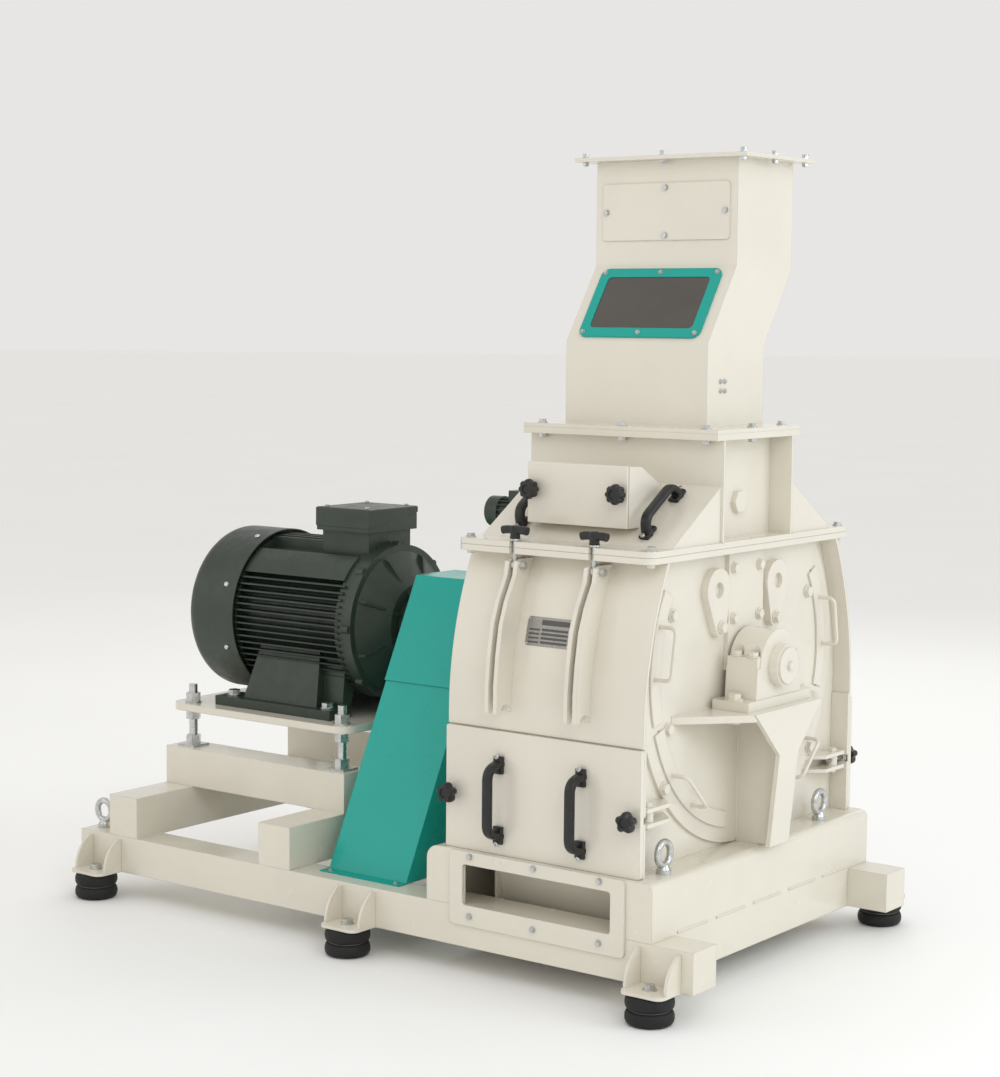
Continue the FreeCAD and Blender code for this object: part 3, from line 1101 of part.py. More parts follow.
def make_inlet():
    t = INLET_SHEET
    base = top_plate(*INLET_PLATE_Z)
    base = drill(base, "z", TOP_PLATE_BOLTS, 6.5, INLET_PLATE_Z[0] - 1, INLET_PLATE_Z[1] + 1)
    z0, z1 = INLET_PLATE_Z[1], INLET_FLANGE_Z[0]
    pieces = [base]
    for side in (-1, 1):
        wall = box(-SHELL_X, SHELL_X, side * INLET_Y, side * (INLET_Y - t), z0, z1)
        wall = wall.cut(box(-INLET_X + t, INLET_X - t, side * INLET_Y, side * (INLET_Y - t), z0 - 1, WEDGE_Z - 12))
        pieces.append(wall)
        slope = prism("yz", [(side * INLET_Y, WEDGE_Z), (side * WEDGE_Y, z0), (side * (WEDGE_Y - 12.5), z0),
                             (side * INLET_Y, WEDGE_Z - 9.5)], -WEDGE_X, WEDGE_X)
        pieces.append(slope)
        for x in (-WEDGE_X, WEDGE_X - t):
            cheek = prism("yz", [(side * INLET_Y, WEDGE_Z - 1), (side * (WEDGE_Y - 1), z0), (side * INLET_Y, z0)],
                          x, x + t)
            pieces.append(cheek)
        for x in (-INLET_X, INLET_X - t):
            pieces.append(box(x, x + t, 0, side * (INLET_Y - t), z0, z1))
    flange = box(-FLANGE_X, FLANGE_X, -FLANGE_Y, FLANGE_Y, *INLET_FLANGE_Z)
    flange = flange.cut(box(-204, 204, -150, 150, INLET_FLANGE_Z[0] - 1, INLET_FLANGE_Z[1] + 1))
    pieces.append(flange)
    pieces.append(hexagon("x", (0, FLAP_Z), 52, INLET_X, INLET_X + 14))
    hood = prism("yz", hood_outline(0), -HOOD_X, HOOD_X)
    pieces.append(hood)
    pieces.append(mirror_y(hood))
    solid = fuse_all(pieces)
    cavity = prism("yz", hood_outline(HOOD_SHEET), -HOOD_X + HOOD_SHEET, HOOD_X - HOOD_SHEET)
    throat = box(-HOOD_X + HOOD_SHEET, HOOD_X - HOOD_SHEET, -309, -205, 1060, 1180)
    throat = throat.common(prism("yz", [(-WEDGE_Y, z0 - 5), (-INLET_Y, z0 - 5), (-INLET_Y, WEDGE_Z + 12),
                                        (-WEDGE_Y, z0 + 12)], -300, 300))
    for cut in (cavity, throat):
        solid = solid.cut(cut).cut(mirror_y(cut))
    solid = solid.cut(rod("x", (0, FLAP_Z), FLAP_R + RUNNING, -INLET_X - 1, INLET_X + 9))
    solid = drill(solid, "z", FLANGE_BOLTS, 6.5, INLET_FLANGE_Z[0] - 1, INLET_FLANGE_Z[1] + 1)
    save("inlet_box", solid.removeSplitter())
    handles = []
    rise = V(0, -0.5397, 0.8418)
    for x in (-184.0, 184.0):
        low = V(x, -338, slope_z(-338)) + rise * 0.05
        high = V(x, -206, slope_z(-206)) + rise * 0.05
        path = [low, low + rise * 42, high + rise * 42, high]
        handle = bridge_handle(path, 9)
        handles.extend([handle, mirror_y(handle)])
    save("hatch_handles", handles)


def make_drawers():
    """Magnet drawers in the two wedges: cover plate, tray and two star knobs."""
    y = HOOD_Y
    plate_piece = plate("y", -HOOD_X, HOOD_X, HOOD_Z[0], HOOD_Z[1], -y - 8.5, -y - 2.5, 5)
    tray = box(-124, 124, -y - 3, -236, 1150, 1190)
    tray = tray.cut(box(-118, 118, -y - 2.5 + 4, -242, 1156, 1200))
    magnets = [box(x - 22, x + 22, -y + 14, -246, 1156, 1182) for x in (-84, -28, 28, 84)]
    body = fuse_all([plate_piece, tray] + magnets)
    knobs = []
    for x in (-126.0, 126.0):
        place = (x, 1186)
        knobs.append(lobe_knob(place[0], place[1], -y - 44, -y - 18.5, 25, 8))
    save("front_drawer", [body] + knobs)
    save("back_drawer", [mirror_y(body)] + [mirror_y(k) for k in knobs])


GEARBOX_X = (-292.0, -224.0)
FLAP_MOTOR = (-72.0, 1094.0)


def make_flap():
    """Flap that turns the feed to either side of the rotor, and its small gearmotor."""
    shaft = rod("x", (0, FLAP_Z), FLAP_R, GEARBOX_X[0] + 30, INLET_X + 7)
    blade = box(-206, 206, -4, 4, FLAP_Z, FLAP_Z + FLAP_LENGTH)
    save("inlet_flap", fuse_all([shaft, blade]))
    x0, x1 = GEARBOX_X
    y, z = FLAP_MOTOR
    body = plate("x", y - 42, 34, INLET_PLATE_Z[1], FLAP_Z + 34, x0, x1, 14)
    flange = rod("x", (y, z), 44, x0 - 14, x0)
    motor = rod("x", (y, z), 33, x0 - 150, x0 - 14)
    fins = []
    for k in range(18):
        fin = box(x0 - 146, x0 - 22, y - 1.5, y + 1.5, z + 30, z + 39)
        fin.rotate(V(0, y, z), V(1, 0, 0), 20 * k)
        fins.append(fin)
    cowl = rod("x", (y, z), 40, x0 - 182, x0 - 144)
    junction = box(x0 - 110, x0 - 40, y - 30, y + 30, z + 30, z + 58)
    solid = fuse_all([body, flange, motor, cowl, junction] + fins)
    solid = solid.cut(rod("x", (0, FLAP_Z), FLAP_R + RUNNING, x0 + 28, x1 + 1))
    save("flap_gearmotor", solid)


# ---------------------------------------------------------------- chute
def chute_tube(inset, front, back, z_pad):
    """Closed profile of the chute between its front and back lines."""
    pts = [(y + inset, z) for y, z in front] + [(y - inset, z) for y, z in reversed(back)]
    pts[0] = (pts[0][0], pts[0][1] - z_pad)
    pts[-1] = (pts[-1][0], pts[-1][1] - z_pad)
    half = len(front)
    pts[half - 1] = (pts[half - 1][0], pts[half - 1][1] + z_pad)
    pts[half] = (pts[half][0], pts[half][1] + z_pad)
    return prism("yz", pts, -CHUTE_X + inset, CHUTE_X - inset)


TOP_BOLTS = [(x, y) for x in (-232.0, 0.0, 232.0) for y in (-14.0, 285.0)] + [(-232.0, 135.5), (232.0, 135.5)]
COVER_BOLTS = [(0.0, COVER_Z[1] - 12), (0.0, COVER_Z[0] + 12), (-COVER_X + 12, 1863.0), (COVER_X - 12, 1863.0)]
SLOPE = (CHUTE_FRONT[2][0] - CHUTE_FRONT[1][0], CHUTE_FRONT[2][1] - CHUTE_FRONT[1][1])
SLOPE_ANGLE = math.degrees(math.atan2(SLOPE[0], SLOPE[1]))
WINDOW_SCREWS = [(x, z) for x in (-164.5, 0.0, 164.5) for z in (-89.5, 89.5)]


def on_slope(shape):
    """Tilt a piece made about the origin, facing -Y, on to the chute's sloping front."""
    shape = shape.copy()
    shape.rotate(V(0, 0, 0), V(1, 0, 0), -SLOPE_ANGLE)
    shape.translate(V(0, (CHUTE_FRONT[1][0] + CHUTE_FRONT[2][0]) / 2, (CHUTE_FRONT[1][1] + CHUTE_FRONT[2][1]) / 2))
    return shape


def make_chute():
    wall = chute_tube(0, CHUTE_FRONT, CHUTE_BACK, 0).cut(chute_tube(CHUTE_SHEET, CHUTE_FRONT, CHUTE_BACK, 5))
    low = box(-FLANGE_X, FLANGE_X, -FLANGE_Y, FLANGE_Y, *CHUTE_FLANGE_Z)
    low = low.cut(box(-CHUTE_X + 4, CHUTE_X - 4, CHUTE_FRONT[0][0] + 4, CHUTE_BACK[0][0] - 4, 1300, 1400))
    z0, z1, z2 = TOP_FLANGE_Z
    ring = box(-TOP_FLANGE_X, TOP_FLANGE_X, TOP_FLANGE_Y[0], TOP_FLANGE_Y[1], z0 - 0.0, z1)
    opening = box(-CHUTE_X + 4, CHUTE_X - 4, CHUTE_FRONT[3][0] + 4, CHUTE_BACK[3][0] - 4, 1900, 2100)
    ring = ring.cut(opening)
    solid = fuse_all([wall, low, ring])
    hole = on_slope(box(-WINDOW_HALF + WINDOW_BORDER, WINDOW_HALF - WINDOW_BORDER, -12, 12,
                        -WINDOW_HEIGHT / 2 + WINDOW_BORDER, WINDOW_HEIGHT / 2 - WINDOW_BORDER))
    solid = solid.cut(hole)
    hand = box(-COVER_X + 28, COVER_X - 28, -5, 20, COVER_Z[0] + 26, COVER_Z[1] - 26)
    solid = solid.cut(hand)
    solid = drill(solid, "z", FLANGE_BOLTS, 6.5, CHUTE_FLANGE_Z[0] - 1, CHUTE_FLANGE_Z[1] + 1)
    solid = drill(solid, "z", TOP_BOLTS, 5.5, z0 - 1, z2 + 1)
    solid = drill(solid, "y", COVER_BOLTS, 4.5, -5, 20)
    solid = drill(solid, "x", SIDE_SCREWS, 3.5, CHUTE_X - 6, CHUTE_X + 1)
    for x, z in WINDOW_SCREWS:
        solid = solid.cut(on_slope(rod("y", (x, z), 3.5, -12, 12)))
    cover = plate("y", -COVER_X, COVER_X, COVER_Z[0], COVER_Z[1], CHUTE_FRONT[3][0] - 4, CHUTE_FRONT[3][0], 10)
    cover = drill(cover, "y", COVER_BOLTS, 4.5, -5, 20)
    upper = box(-TOP_FLANGE_X, TOP_FLANGE_X, TOP_FLANGE_Y[0], TOP_FLANGE_Y[1], z1, z2)
    upper = drill(upper.cut(opening), "z", TOP_BOLTS, 5.5, z0 - 1, z2 + 1)
    save("chute", [solid.removeSplitter(), cover, upper])
    frame = plate("y", -WINDOW_HALF, WINDOW_HALF, -WINDOW_HEIGHT / 2, WINDOW_HEIGHT / 2, -WINDOW_SHEET, 0, 22)
    frame = frame.cut(plate("y", -WINDOW_HALF + WINDOW_BORDER, WINDOW_HALF - WINDOW_BORDER,
                            -WINDOW_HEIGHT / 2 + WINDOW_BORDER, WINDOW_HEIGHT / 2 - WINDOW_BORDER,
                            -WINDOW_SHEET - 1, 1, 12))
    frame = drill(frame, "y", WINDOW_SCREWS, 3.5, -WINDOW_SHEET - 1, 1)
    save("window_frame", on_slope(frame))
    b = WINDOW_BORDER + 0.3
    pane = plate("y", -WINDOW_HALF + b, WINDOW_HALF - b, -WINDOW_HEIGHT / 2 + b, WINDOW_HEIGHT / 2 - b,
                 -WINDOW_SHEET + 2, 0, 12)
    save("window_pane", on_slope(pane))


# ---------------------------------------------------------------- fasteners
def bolt(axis, place, seat, way, m, length, nut_at=None):
    """Hex bolt of thread m: its head stands toward 'way' (+1 or -1) from the seat."""
    a = seat + way * m * 0.2
    b = a + way * m * 0.6
    pieces = [rod(axis, place, m * 1.05, seat, a), hexagon(axis, place, m * 1.5, a, b)]
    pieces.append(rod(axis, place, m / 2, seat - way * length, a))
    if nut_at is not None:
        pieces.append(hexagon(axis, place, m * 1.5, nut_at, nut_at - way * m * 0.8))
    return fuse_all(pieces)


def make_bolts():
    group = []
    for side in (-1, 1):
        face = side * (RAIL_OUT + HATCH_SHEET)
        for x, z in HATCH_BOLTS:
            length = HATCH_SHEET + 7 if z > RAIL_Z[1] else HATCH_SHEET - 0.5
            group.append(bolt("y", (x, z), face, side, 2 * HATCH_BOLT_R, length))
        for x in FOOT_X:
            group.append(bolt("z", (x, side * FOOT_Y), FOOT_HEIGHT + BRACKET_SHEET, 1, 2 * FOOT_BOLT_R, 36))
    for x, y in MOTOR_HOLES:
        group.append(bolt("z", (x, y), PLATE_Z[1] + 26, 1, 2 * MOTOR_BOLT_R, 60, PLATE_Z[0]))
    for side in (-1, 1):
        for y, z in WALL_BOLTS:
            group.append(bolt("x", (y, z), side * DISC_X, side, 16, 15))
        for y, z in PLATE_BOLTS:
            group.append(bolt("x", (y, z), side * (DISC_X + 11), side, 14, 24))
        for foot in (-1, 1):
            group.append(bolt("x", (foot * CAM_FOOT[0], CAM_FOOT[1]), side * (DISC_X + 20), side, 16, 34))
        for x, y in BLOCK_BOLTS:
            group.append(bolt("z", (side * x, y), BLOCK_Z[1], 1, 20, 46, SHELF_Z[0]))
        for x, y in CAP_BOLTS:
            group.append(bolt("z", (side * x, y), CAP_EAR_Z, 1, 16, 50))
    for x, y in TOP_PLATE_BOLTS:
        if abs(y) < 1:
            continue
        group.append(bolt("z", (x, y), INLET_PLATE_Z[1], 1, 12, 38, TOP_PLATE_Z[0]))
    for x, y in FLANGE_BOLTS:
        group.append(bolt("z", (x, y), CHUTE_FLANGE_Z[1], 1, 12, 36, INLET_FLANGE_Z[0]))
    for x, y in TOP_BOLTS:
        nut = rod("z", (x, y), 8, TOP_FLANGE_Z[2] + 6, TOP_FLANGE_Z[2] + 12)
        group.append(fuse_all([bolt("z", (x, y), TOP_FLANGE_Z[2], 1, 10, 20, TOP_FLANGE_Z[0]), nut]))
    for x, z in COVER_BOLTS:
        group.append(bolt("y", (x, z), CHUTE_FRONT[3][0] - 4, -1, 8, 12))
    for x, z in WINDOW_SCREWS:
        group.append(on_slope(bolt("y", (x, z), -WINDOW_SHEET, -1, 6, 12)))
    for y, z in SIDE_SCREWS:
        group.append(bolt("x", (y, z), CHUTE_X, 1, 6, CHUTE_SHEET - 0.3))
    for x, y in GUARD_SCREWS:
        group.append(bolt("z", (x, y), GUARD_Z[0] + GUARD_SHEET, 1, 6, GUARD_SHEET - 0.3))
    for x in (-TBOLT_X, TBOLT_X):
        for side in (-1, 1):
            half = RIB_GAP / 2 + RIB_SHEET
            pin = rod("x", (side * TBOLT_Y, TBOLT_Z), TBOLT_R, x - half - 4, x + half + 14)
            head = hexagon("x", (side * TBOLT_Y, TBOLT_Z), 18, x + half, x + half + 12)
            tail = rod("x", (side * TBOLT_Y, TBOLT_Z), 8.5, x - half - 5, x - half)
            group.append(fuse_all([pin, head, tail]))
    for x in (-CLAMP_X, CLAMP_X):
        for side in (-1, 1):
            place = (x, side * CLAMP_Y)
            low, high = CLAMP_PLATES_Z
            nut = rod("z", place, 9, low[0] - 4, high[1] + 4)
            nut = nut.fuse(rod("z", place, 14, low[1], high[0]))
            nut = nut.fuse(hexagon("z", place, 22, low[0] - 9, low[0]))
            nut = nut.fuse(hexagon("z", place, 22, high[1], high[1] + 9)).removeSplitter()
            group.append(nut.cut(rod("y", (x, CLAMP_Z), CLAMP_R + 0.07, side * (CLAMP_Y - 30), side * (CLAMP_Y + 30))))
    save("bolts", group)


make_base_frame()
make_mill_base()
make_motor_support()
make_motor_frame()
make_end_shields()
make_cowl()
make_terminal_box()
make_motor_rotor()
make_coupling()
make_guard()
make_drum()
make_screens()
make_panels()
make_t_bolts()
make_rotor()
make_bearings()
make_inlet()
make_drawers()
make_flap()
make_chute()
make_bolts()
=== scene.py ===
"""Hammer mill: looks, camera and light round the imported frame.  Metres, in the part's own frame."""
import bpy
import bmesh
import math
from mathutils import Matrix, Vector


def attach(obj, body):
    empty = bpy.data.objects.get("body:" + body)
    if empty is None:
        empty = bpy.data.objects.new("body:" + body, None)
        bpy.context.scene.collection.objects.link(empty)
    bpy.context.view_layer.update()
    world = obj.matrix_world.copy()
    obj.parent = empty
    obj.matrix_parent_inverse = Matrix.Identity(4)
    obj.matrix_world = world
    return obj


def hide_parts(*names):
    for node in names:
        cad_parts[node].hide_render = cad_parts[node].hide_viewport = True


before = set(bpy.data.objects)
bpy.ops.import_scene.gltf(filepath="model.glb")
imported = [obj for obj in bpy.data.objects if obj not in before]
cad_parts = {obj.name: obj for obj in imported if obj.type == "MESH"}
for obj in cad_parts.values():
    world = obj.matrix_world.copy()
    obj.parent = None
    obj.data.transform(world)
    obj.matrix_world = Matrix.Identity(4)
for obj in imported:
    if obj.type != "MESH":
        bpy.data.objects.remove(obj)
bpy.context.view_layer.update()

SHAFT_Z = 0.760             # height of the shaft line
MILL_X = 0.563              # the mill's middle plane
MOTOR_X = MILL_X - 1.300    # the fan cowl's screw ring

SIDE_WALL_X = (0.236, 0.42)     # from the middle plane: the side walls with their bearings
SIDE_WALL_Z = (0.32, 1.034)
SCREEN_FLANGE_X = 0.243         # inside it, a screen's faces are perforated

PANEL_Y = -0.5033               # outer face of the front access panel
PANEL_GRIP_X = 0.12
PANEL_GRIP_Z = (0.355, 0.534)
WEDGE_LOW = (0.374, 1.066)      # distance from the middle and height of a wedge's lower edge
WEDGE_HIGH = (0.165, 1.200)
WEDGE_NORMAL = (0, -0.5397, 0.8418)
WEDGE_GRIP_X = 0.184
WEDGE_GRIP_Y = (0.338, 0.206)

GRIP_SECTION = (0.025, 0.018)   # width and depth of a bridge handle
GRIP_BEND = 0.026
GRIP_PAD = (0.028, 0.012)       # width and depth of its feet
GRIP_PAD_HALF = 0.021           # half the length of a foot

CLAMP_X = 0.262
CLAMP_Z = 0.447
CLAMP_KNOB_Y = -0.5173
CLAMP_WASHER_Y = -0.5035
CLAMP_STUD_Y = -0.418           # the stud's inner end
T_BOLT_X = 0.115
T_BOLT_Y = -0.458
T_BOLT_SEAT = 1.0677
T_BOLT_PIVOT_Z = 1.008
THREAD_R = 0.0060
THREAD_DEPTH = 0.0006
THREAD_STEP = 0.0015

DRAWER_HALF = 0.145             # half the width of a drawer's cover
DRAWER_Y = (-0.3685, -0.3625)   # outer and inner face of the front cover
DRAWER_Z = (1.104, 1.252)
TRAY_HALF = 0.124
TRAY_BACK_Y = -0.237
TRAY_Z = 1.150
MAGNET_X = (-0.084, -0.028, 0.028, 0.084)
DRAWER_KNOB_X = 0.126
DRAWER_KNOB_Z = 1.186

FOOT_X = (-1.468, -0.555, 0.352)
FOOT_Y = 0.557
FOOT_R = 0.0475
FOOT_BULGE = 0.0103

SHELL_R = 0.890                 # the curved shells are cylinders about this line
SHELL_CENTRE = (0.395, 0.640)
INLET_PLATE_Z = 1.0665          # weld height on the plate under the inlet section
CHUTE_FLANGE_Z = 1.3365         # weld height on the chute's lower flange

TAG_X = (-0.070, 0.058)         # the data plate, from the middle plane
TAG_Z = (0.822, 0.890)
COWL_SCREW_R = 0.2318
LID_SCREW_X = (-1.040, -0.896)
LID_SCREW_Y = 0.085
LID_Z = 1.0740

EYE = (3.1082 + MILL_X, -4.7955, 1.5956)    # the camera
LENS = 75.951                   # millimetres, for a sensor 36 mm high


# ---------------------------------------------------------------- materials
class Look:
    """Small helper that builds one Principled material with procedural detail."""

    def __init__(self, name, colour, rough, metal=0.0, coat=0.0, coat_rough=0.1, spec=0.5):
        self.mat = bpy.data.materials.new(name)
        self.mat.use_nodes = True
        self.tree = self.mat.node_tree
        self.shader = self.tree.nodes["Principled BSDF"]
        self.shader.inputs["Base Color"].default_value = (*colour, 1.0)
        self.shader.inputs["Roughness"].default_value = rough
        self.shader.inputs["Metallic"].default_value = metal
        self.shader.inputs["Coat Weight"].default_value = coat
        self.shader.inputs["Coat Roughness"].default_value = coat_rough
        self.shader.inputs["Specular IOR Level"].default_value = spec
        self.colour = colour
        self.rough = rough
        self.normal = None

    def node(self, kind, **values):
        made = self.tree.nodes.new(kind)
        for key, value in values.items():
            if key in made.inputs:
                made.inputs[key].default_value = value
            else:
                setattr(made, key, value)
        return made

    def coords(self, scale=(1, 1, 1)):
        place = self.node("ShaderNodeTexCoord")
        mapping = self.node("ShaderNodeMapping")
        mapping.inputs["Scale"].default_value = scale
        self.tree.links.new(place.outputs["Object"], mapping.inputs["Vector"])
        return mapping.outputs["Vector"]

    def noise(self, scale, detail=4.0, stretch=(1, 1, 1), rough=0.55):
        made = self.node("ShaderNodeTexNoise")
        made.inputs["Scale"].default_value = scale
        made.inputs["Detail"].default_value = detail
        made.inputs["Roughness"].default_value = rough
        self.tree.links.new(self.coords(stretch), made.inputs["Vector"])
        return made.outputs["Fac"]

    def ramp(self, factor, stops):
        made = self.node("ShaderNodeValToRGB")
        ramp = made.color_ramp
        while len(ramp.elements) < len(stops):
            ramp.elements.new(0.5)
        for element, (place, colour) in zip(ramp.elements, stops):
            element.position = place
            element.color = (*colour, 1.0)
        self.tree.links.new(factor, made.inputs["Fac"])
        return made.outputs["Color"]

    def vary(self, scale, amount, low=0.35, high=0.65, stretch=(1, 1, 1)):
        """Colour that drifts a little lighter and darker over the surface."""
        dark = tuple(c * (1 - amount) for c in self.colour)
        light = tuple(min(1.0, c * (1 + amount * 0.5)) for c in self.colour)
        colour = self.ramp(self.noise(scale, stretch=stretch), [(low, dark), (high, light)])
        self.tree.links.new(colour, self.shader.inputs["Base Color"])
        return colour

    def dust(self, colour, tint, scale, threshold, strength):
        """Mix a second colour in patches."""
        mask = self.node("ShaderNodeMapRange")
        mask.inputs["From Min"].default_value = threshold
        mask.inputs["From Max"].default_value = threshold + 0.18
        mask.inputs["To Max"].default_value = strength
        self.tree.links.new(self.noise(scale, 8.0, rough=0.65), mask.inputs["Value"])
        mix = self.node("ShaderNodeMix", data_type="RGBA")
        self.tree.links.new(mask.outputs["Result"], mix.inputs["Factor"])
        self.tree.links.new(colour, mix.inputs[6])
        mix.inputs[7].default_value = (*tint, 1.0)
        self.tree.links.new(mix.outputs[2], self.shader.inputs["Base Color"])
        return mix.outputs[2]

    def gloss(self, scale, spread, stretch=(1, 1, 1)):
        """Roughness that varies a little."""
        made = self.node("ShaderNodeMapRange")
        made.inputs["From Min"].default_value = 0.3
        made.inputs["From Max"].default_value = 0.7
        made.inputs["To Min"].default_value = max(0.02, self.rough - spread)
        made.inputs["To Max"].default_value = self.rough + spread
        self.tree.links.new(self.noise(scale, stretch=stretch), made.inputs["Value"])
        self.tree.links.new(made.outputs["Result"], self.shader.inputs["Roughness"])

    def edges(self, radius):
        """Softly rounded edges on the CAD's sharp corners."""
        made = self.node("ShaderNodeBevel")
        made.samples = 4
        made.inputs["Radius"].default_value = radius
        self.normal = made.outputs["Normal"]
        self.tree.links.new(self.normal, self.shader.inputs["Normal"])

    def bump(self, scale, height, detail=3.0, stretch=(1, 1, 1), strength=1.0):
        made = self.node("ShaderNodeBump")
        made.inputs["Strength"].default_value = strength
        made.inputs["Distance"].default_value = height
        self.tree.links.new(self.noise(scale, detail, stretch), made.inputs["Height"])
        if self.normal is not None:
            self.tree.links.new(self.normal, made.inputs["Normal"])
        self.normal = made.outputs["Normal"]
        self.tree.links.new(self.normal, self.shader.inputs["Normal"])


def painted(name, colour, rough, grime, edge=0.0025, peel=0.00012, coat=0.35, spec=0.5):
    """Sprayed enamel: orange peel, slight drift in colour and gloss, faint dust."""
    look = Look(name, colour, rough, coat=coat, coat_rough=0.08, spec=spec)
    colour_out = look.vary(3.2, 0.035)
    look.dust(colour_out, tuple(c * 0.80 for c in colour), 9.0, 0.60, grime)
    look.gloss(14.0, 0.06)
    look.edges(edge)
    look.bump(420.0, peel, 2.0)
    return look.mat


def motor_paint():
    look = Look("motor_casting_paint", (0.024, 0.038, 0.026), 0.45, coat=0.15, coat_rough=0.25)
    base = look.vary(6.0, 0.18)
    look.dust(base, (0.055, 0.076, 0.052), 16.0, 0.58, 0.35)
    look.gloss(30.0, 0.10)
    look.edges(0.002)
    look.bump(260.0, 0.00035, 6.0)
    return look.mat


def black_plastic():
    look = Look("black_moulded_plastic", (0.012, 0.012, 0.012), 0.38)
    look.vary(40.0, 0.25)
    look.gloss(60.0, 0.08)
    look.edges(0.0012)
    look.bump(900.0, 0.00012, 2.0)
    return look.mat


def black_rubber():
    look = Look("black_rubber", (0.014, 0.014, 0.014), 0.62, spec=0.35)
    base = look.vary(25.0, 0.2)
    look.dust(base, (0.06, 0.055, 0.05), 35.0, 0.60, 0.5)
    look.bump(500.0, 0.0003, 4.0)
    return look.mat


def bright_zinc():
    look = Look("bright_zinc_plate", (0.60, 0.61, 0.60), 0.30, metal=1.0)
    base = look.vary(70.0, 0.16)
    look.dust(base, (0.42, 0.40, 0.33), 90.0, 0.58, 0.4)
    look.gloss(120.0, 0.10)
    look.edges(0.0008)
    look.bump(1500.0, 0.00005, 3.0)
    return look.mat


def turned_steel():
    """Fine rings left by the lathe, close together along the shaft."""
    look = Look("turned_steel", (0.50, 0.50, 0.49), 0.26, metal=1.0)
    look.vary(30.0, 0.12, stretch=(12, 1, 1))
    look.gloss(60.0, 0.08, stretch=(14, 1, 1))
    look.edges(0.001)
    look.bump(300.0, 0.00006, 2.0, stretch=(16, 1, 1))
    return look.mat


def hardened_steel():
    look = Look("hardened_steel", (0.20, 0.19, 0.18), 0.45, metal=1.0)
    base = look.vary(24.0, 0.25)
    look.dust(base, (0.16, 0.11, 0.07), 40.0, 0.57, 0.5)
    look.gloss(50.0, 0.12)
    look.edges(0.001)
    look.bump(600.0, 0.0002, 4.0)
    return look.mat


def stacked_laminations():
    thin = (1, 0.02, 0.02)
    look = Look("stacked_laminations", (0.16, 0.15, 0.14), 0.5, metal=0.8)
    look.vary(900.0, 0.4, stretch=thin)
    look.bump(900.0, 0.0002, 1.0, stretch=thin)
    return look.mat


def window_pane():
    """Smoked clear plastic with patches of dust."""
    look = Look("window_pane", (0.135, 0.112, 0.082), 0.06, coat=1.0, coat_rough=0.02)
    look.shader.inputs["Transmission Weight"].default_value = 0.75
    look.shader.inputs["IOR"].default_value = 1.49
    base = look.vary(2.2, 0.30, stretch=(1, 1, 2))
    look.dust(base, (0.26, 0.22, 0.17), 7.0, 0.62, 0.30)
    look.gloss(18.0, 0.04)
    return look.mat


def perforated_screen():
    """Sheet steel whose holes are dips in an even grid."""
    look = Look("perforated_screen", (0.36, 0.36, 0.35), 0.38, metal=1.0)
    look.vary(40.0, 0.15)
    look.edges(0.001)
    dots = look.node("ShaderNodeTexVoronoi")
    dots.inputs["Scale"].default_value = 130.0
    dots.inputs["Randomness"].default_value = 0.0
    look.tree.links.new(look.coords(), dots.inputs["Vector"])
    dip = look.node("ShaderNodeBump")
    dip.inputs["Distance"].default_value = 0.0012
    look.tree.links.new(dots.outputs["Distance"], dip.inputs["Height"])
    look.tree.links.new(look.normal, dip.inputs["Normal"])
    look.tree.links.new(dip.outputs["Normal"], look.shader.inputs["Normal"])
    return look.mat


def etched_tag():
    look = Look("etched_tag", (0.34, 0.33, 0.31), 0.30, metal=0.6)
    look.vary(120.0, 0.2, stretch=(6, 1, 1))
    look.gloss(200.0, 0.06, stretch=(8, 1, 1))
    return look.mat


def etched_tag_dark():
    look = Look("etched_tag_dark", (0.10, 0.10, 0.095), 0.36, metal=0.4)
    look.vary(200.0, 0.15, stretch=(6, 1, 1))
    return look.mat


MATS = {
    "ivory": painted("ivory_enamel", (0.765, 0.720, 0.625), 0.20, 0.08),
    "frame": painted("ivory_enamel_frame", (0.76, 0.715, 0.615), 0.22, 0.10, edge=0.004),
    "teal": painted("teal_enamel", (0.006, 0.375, 0.315), 0.24, 0.04, coat=0.10, spec=0.30),
    "motor": motor_paint(),
    "plastic": black_plastic(),
    "rubber": black_rubber(),
    "zinc": bright_zinc(),
    "steel": turned_steel(),
    "hard": hardened_steel(),
    "core": stacked_laminations(),
    "glass": window_pane(),
    "screen": perforated_screen(),
    "tag": etched_tag(),
    "tag_dark": etched_tag_dark(),
}

NODE_LOOKS = {
    "ivory": ["side_walls", "drum_top_plate", "front_shell", "back_shell", "plummer_blocks",
              "bearing_shelves", "inlet_box", "chute", "front_panel", "back_panel"],
    "frame": ["side_rails", "cross_members", "mill_base", "foot_brackets", "motor_plate",
              "base_hatch_frames"],
    "teal": ["guard_lower", "guard_cap", "window_frame"],
    "motor": ["motor_frame", "motor_end_shields", "fan_cowl", "terminal_box", "flap_gearmotor"],
    "zinc": ["levelling_studs", "lifting_eyes", "bolts"],
    "steel": ["motor_shaft", "rotor_shaft", "shaft_bearings", "inlet_flap", "motor_coupling_hub",
              "rotor_coupling_hub"],
    "hard": ["rotor_discs", "hammer_pins", "hammers", "wear_plates"],
    "core": ["stator_core", "motor_rotor_core"],
    "rubber": ["isolator_feet", "coupling_spider"],
    "plastic": ["cooling_fan", "front_panel_handles", "back_panel_handles", "hatch_handles",
                "front_drawer", "back_drawer"],
    "glass": ["window_pane"],
}


def dress_nodes():
    """Give every CAD node its material; a node that is not listed is plastic."""
    chosen = {}
    for look, nodes in NODE_LOOKS.items():
        for node in nodes:
            chosen[node] = look
    for name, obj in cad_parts.items():
        look = chosen.get(name, "plastic")
        if name.startswith("screen_"):
            look = "ivory"
        for item in obj.material_slots:
            item.material = MATS[look]


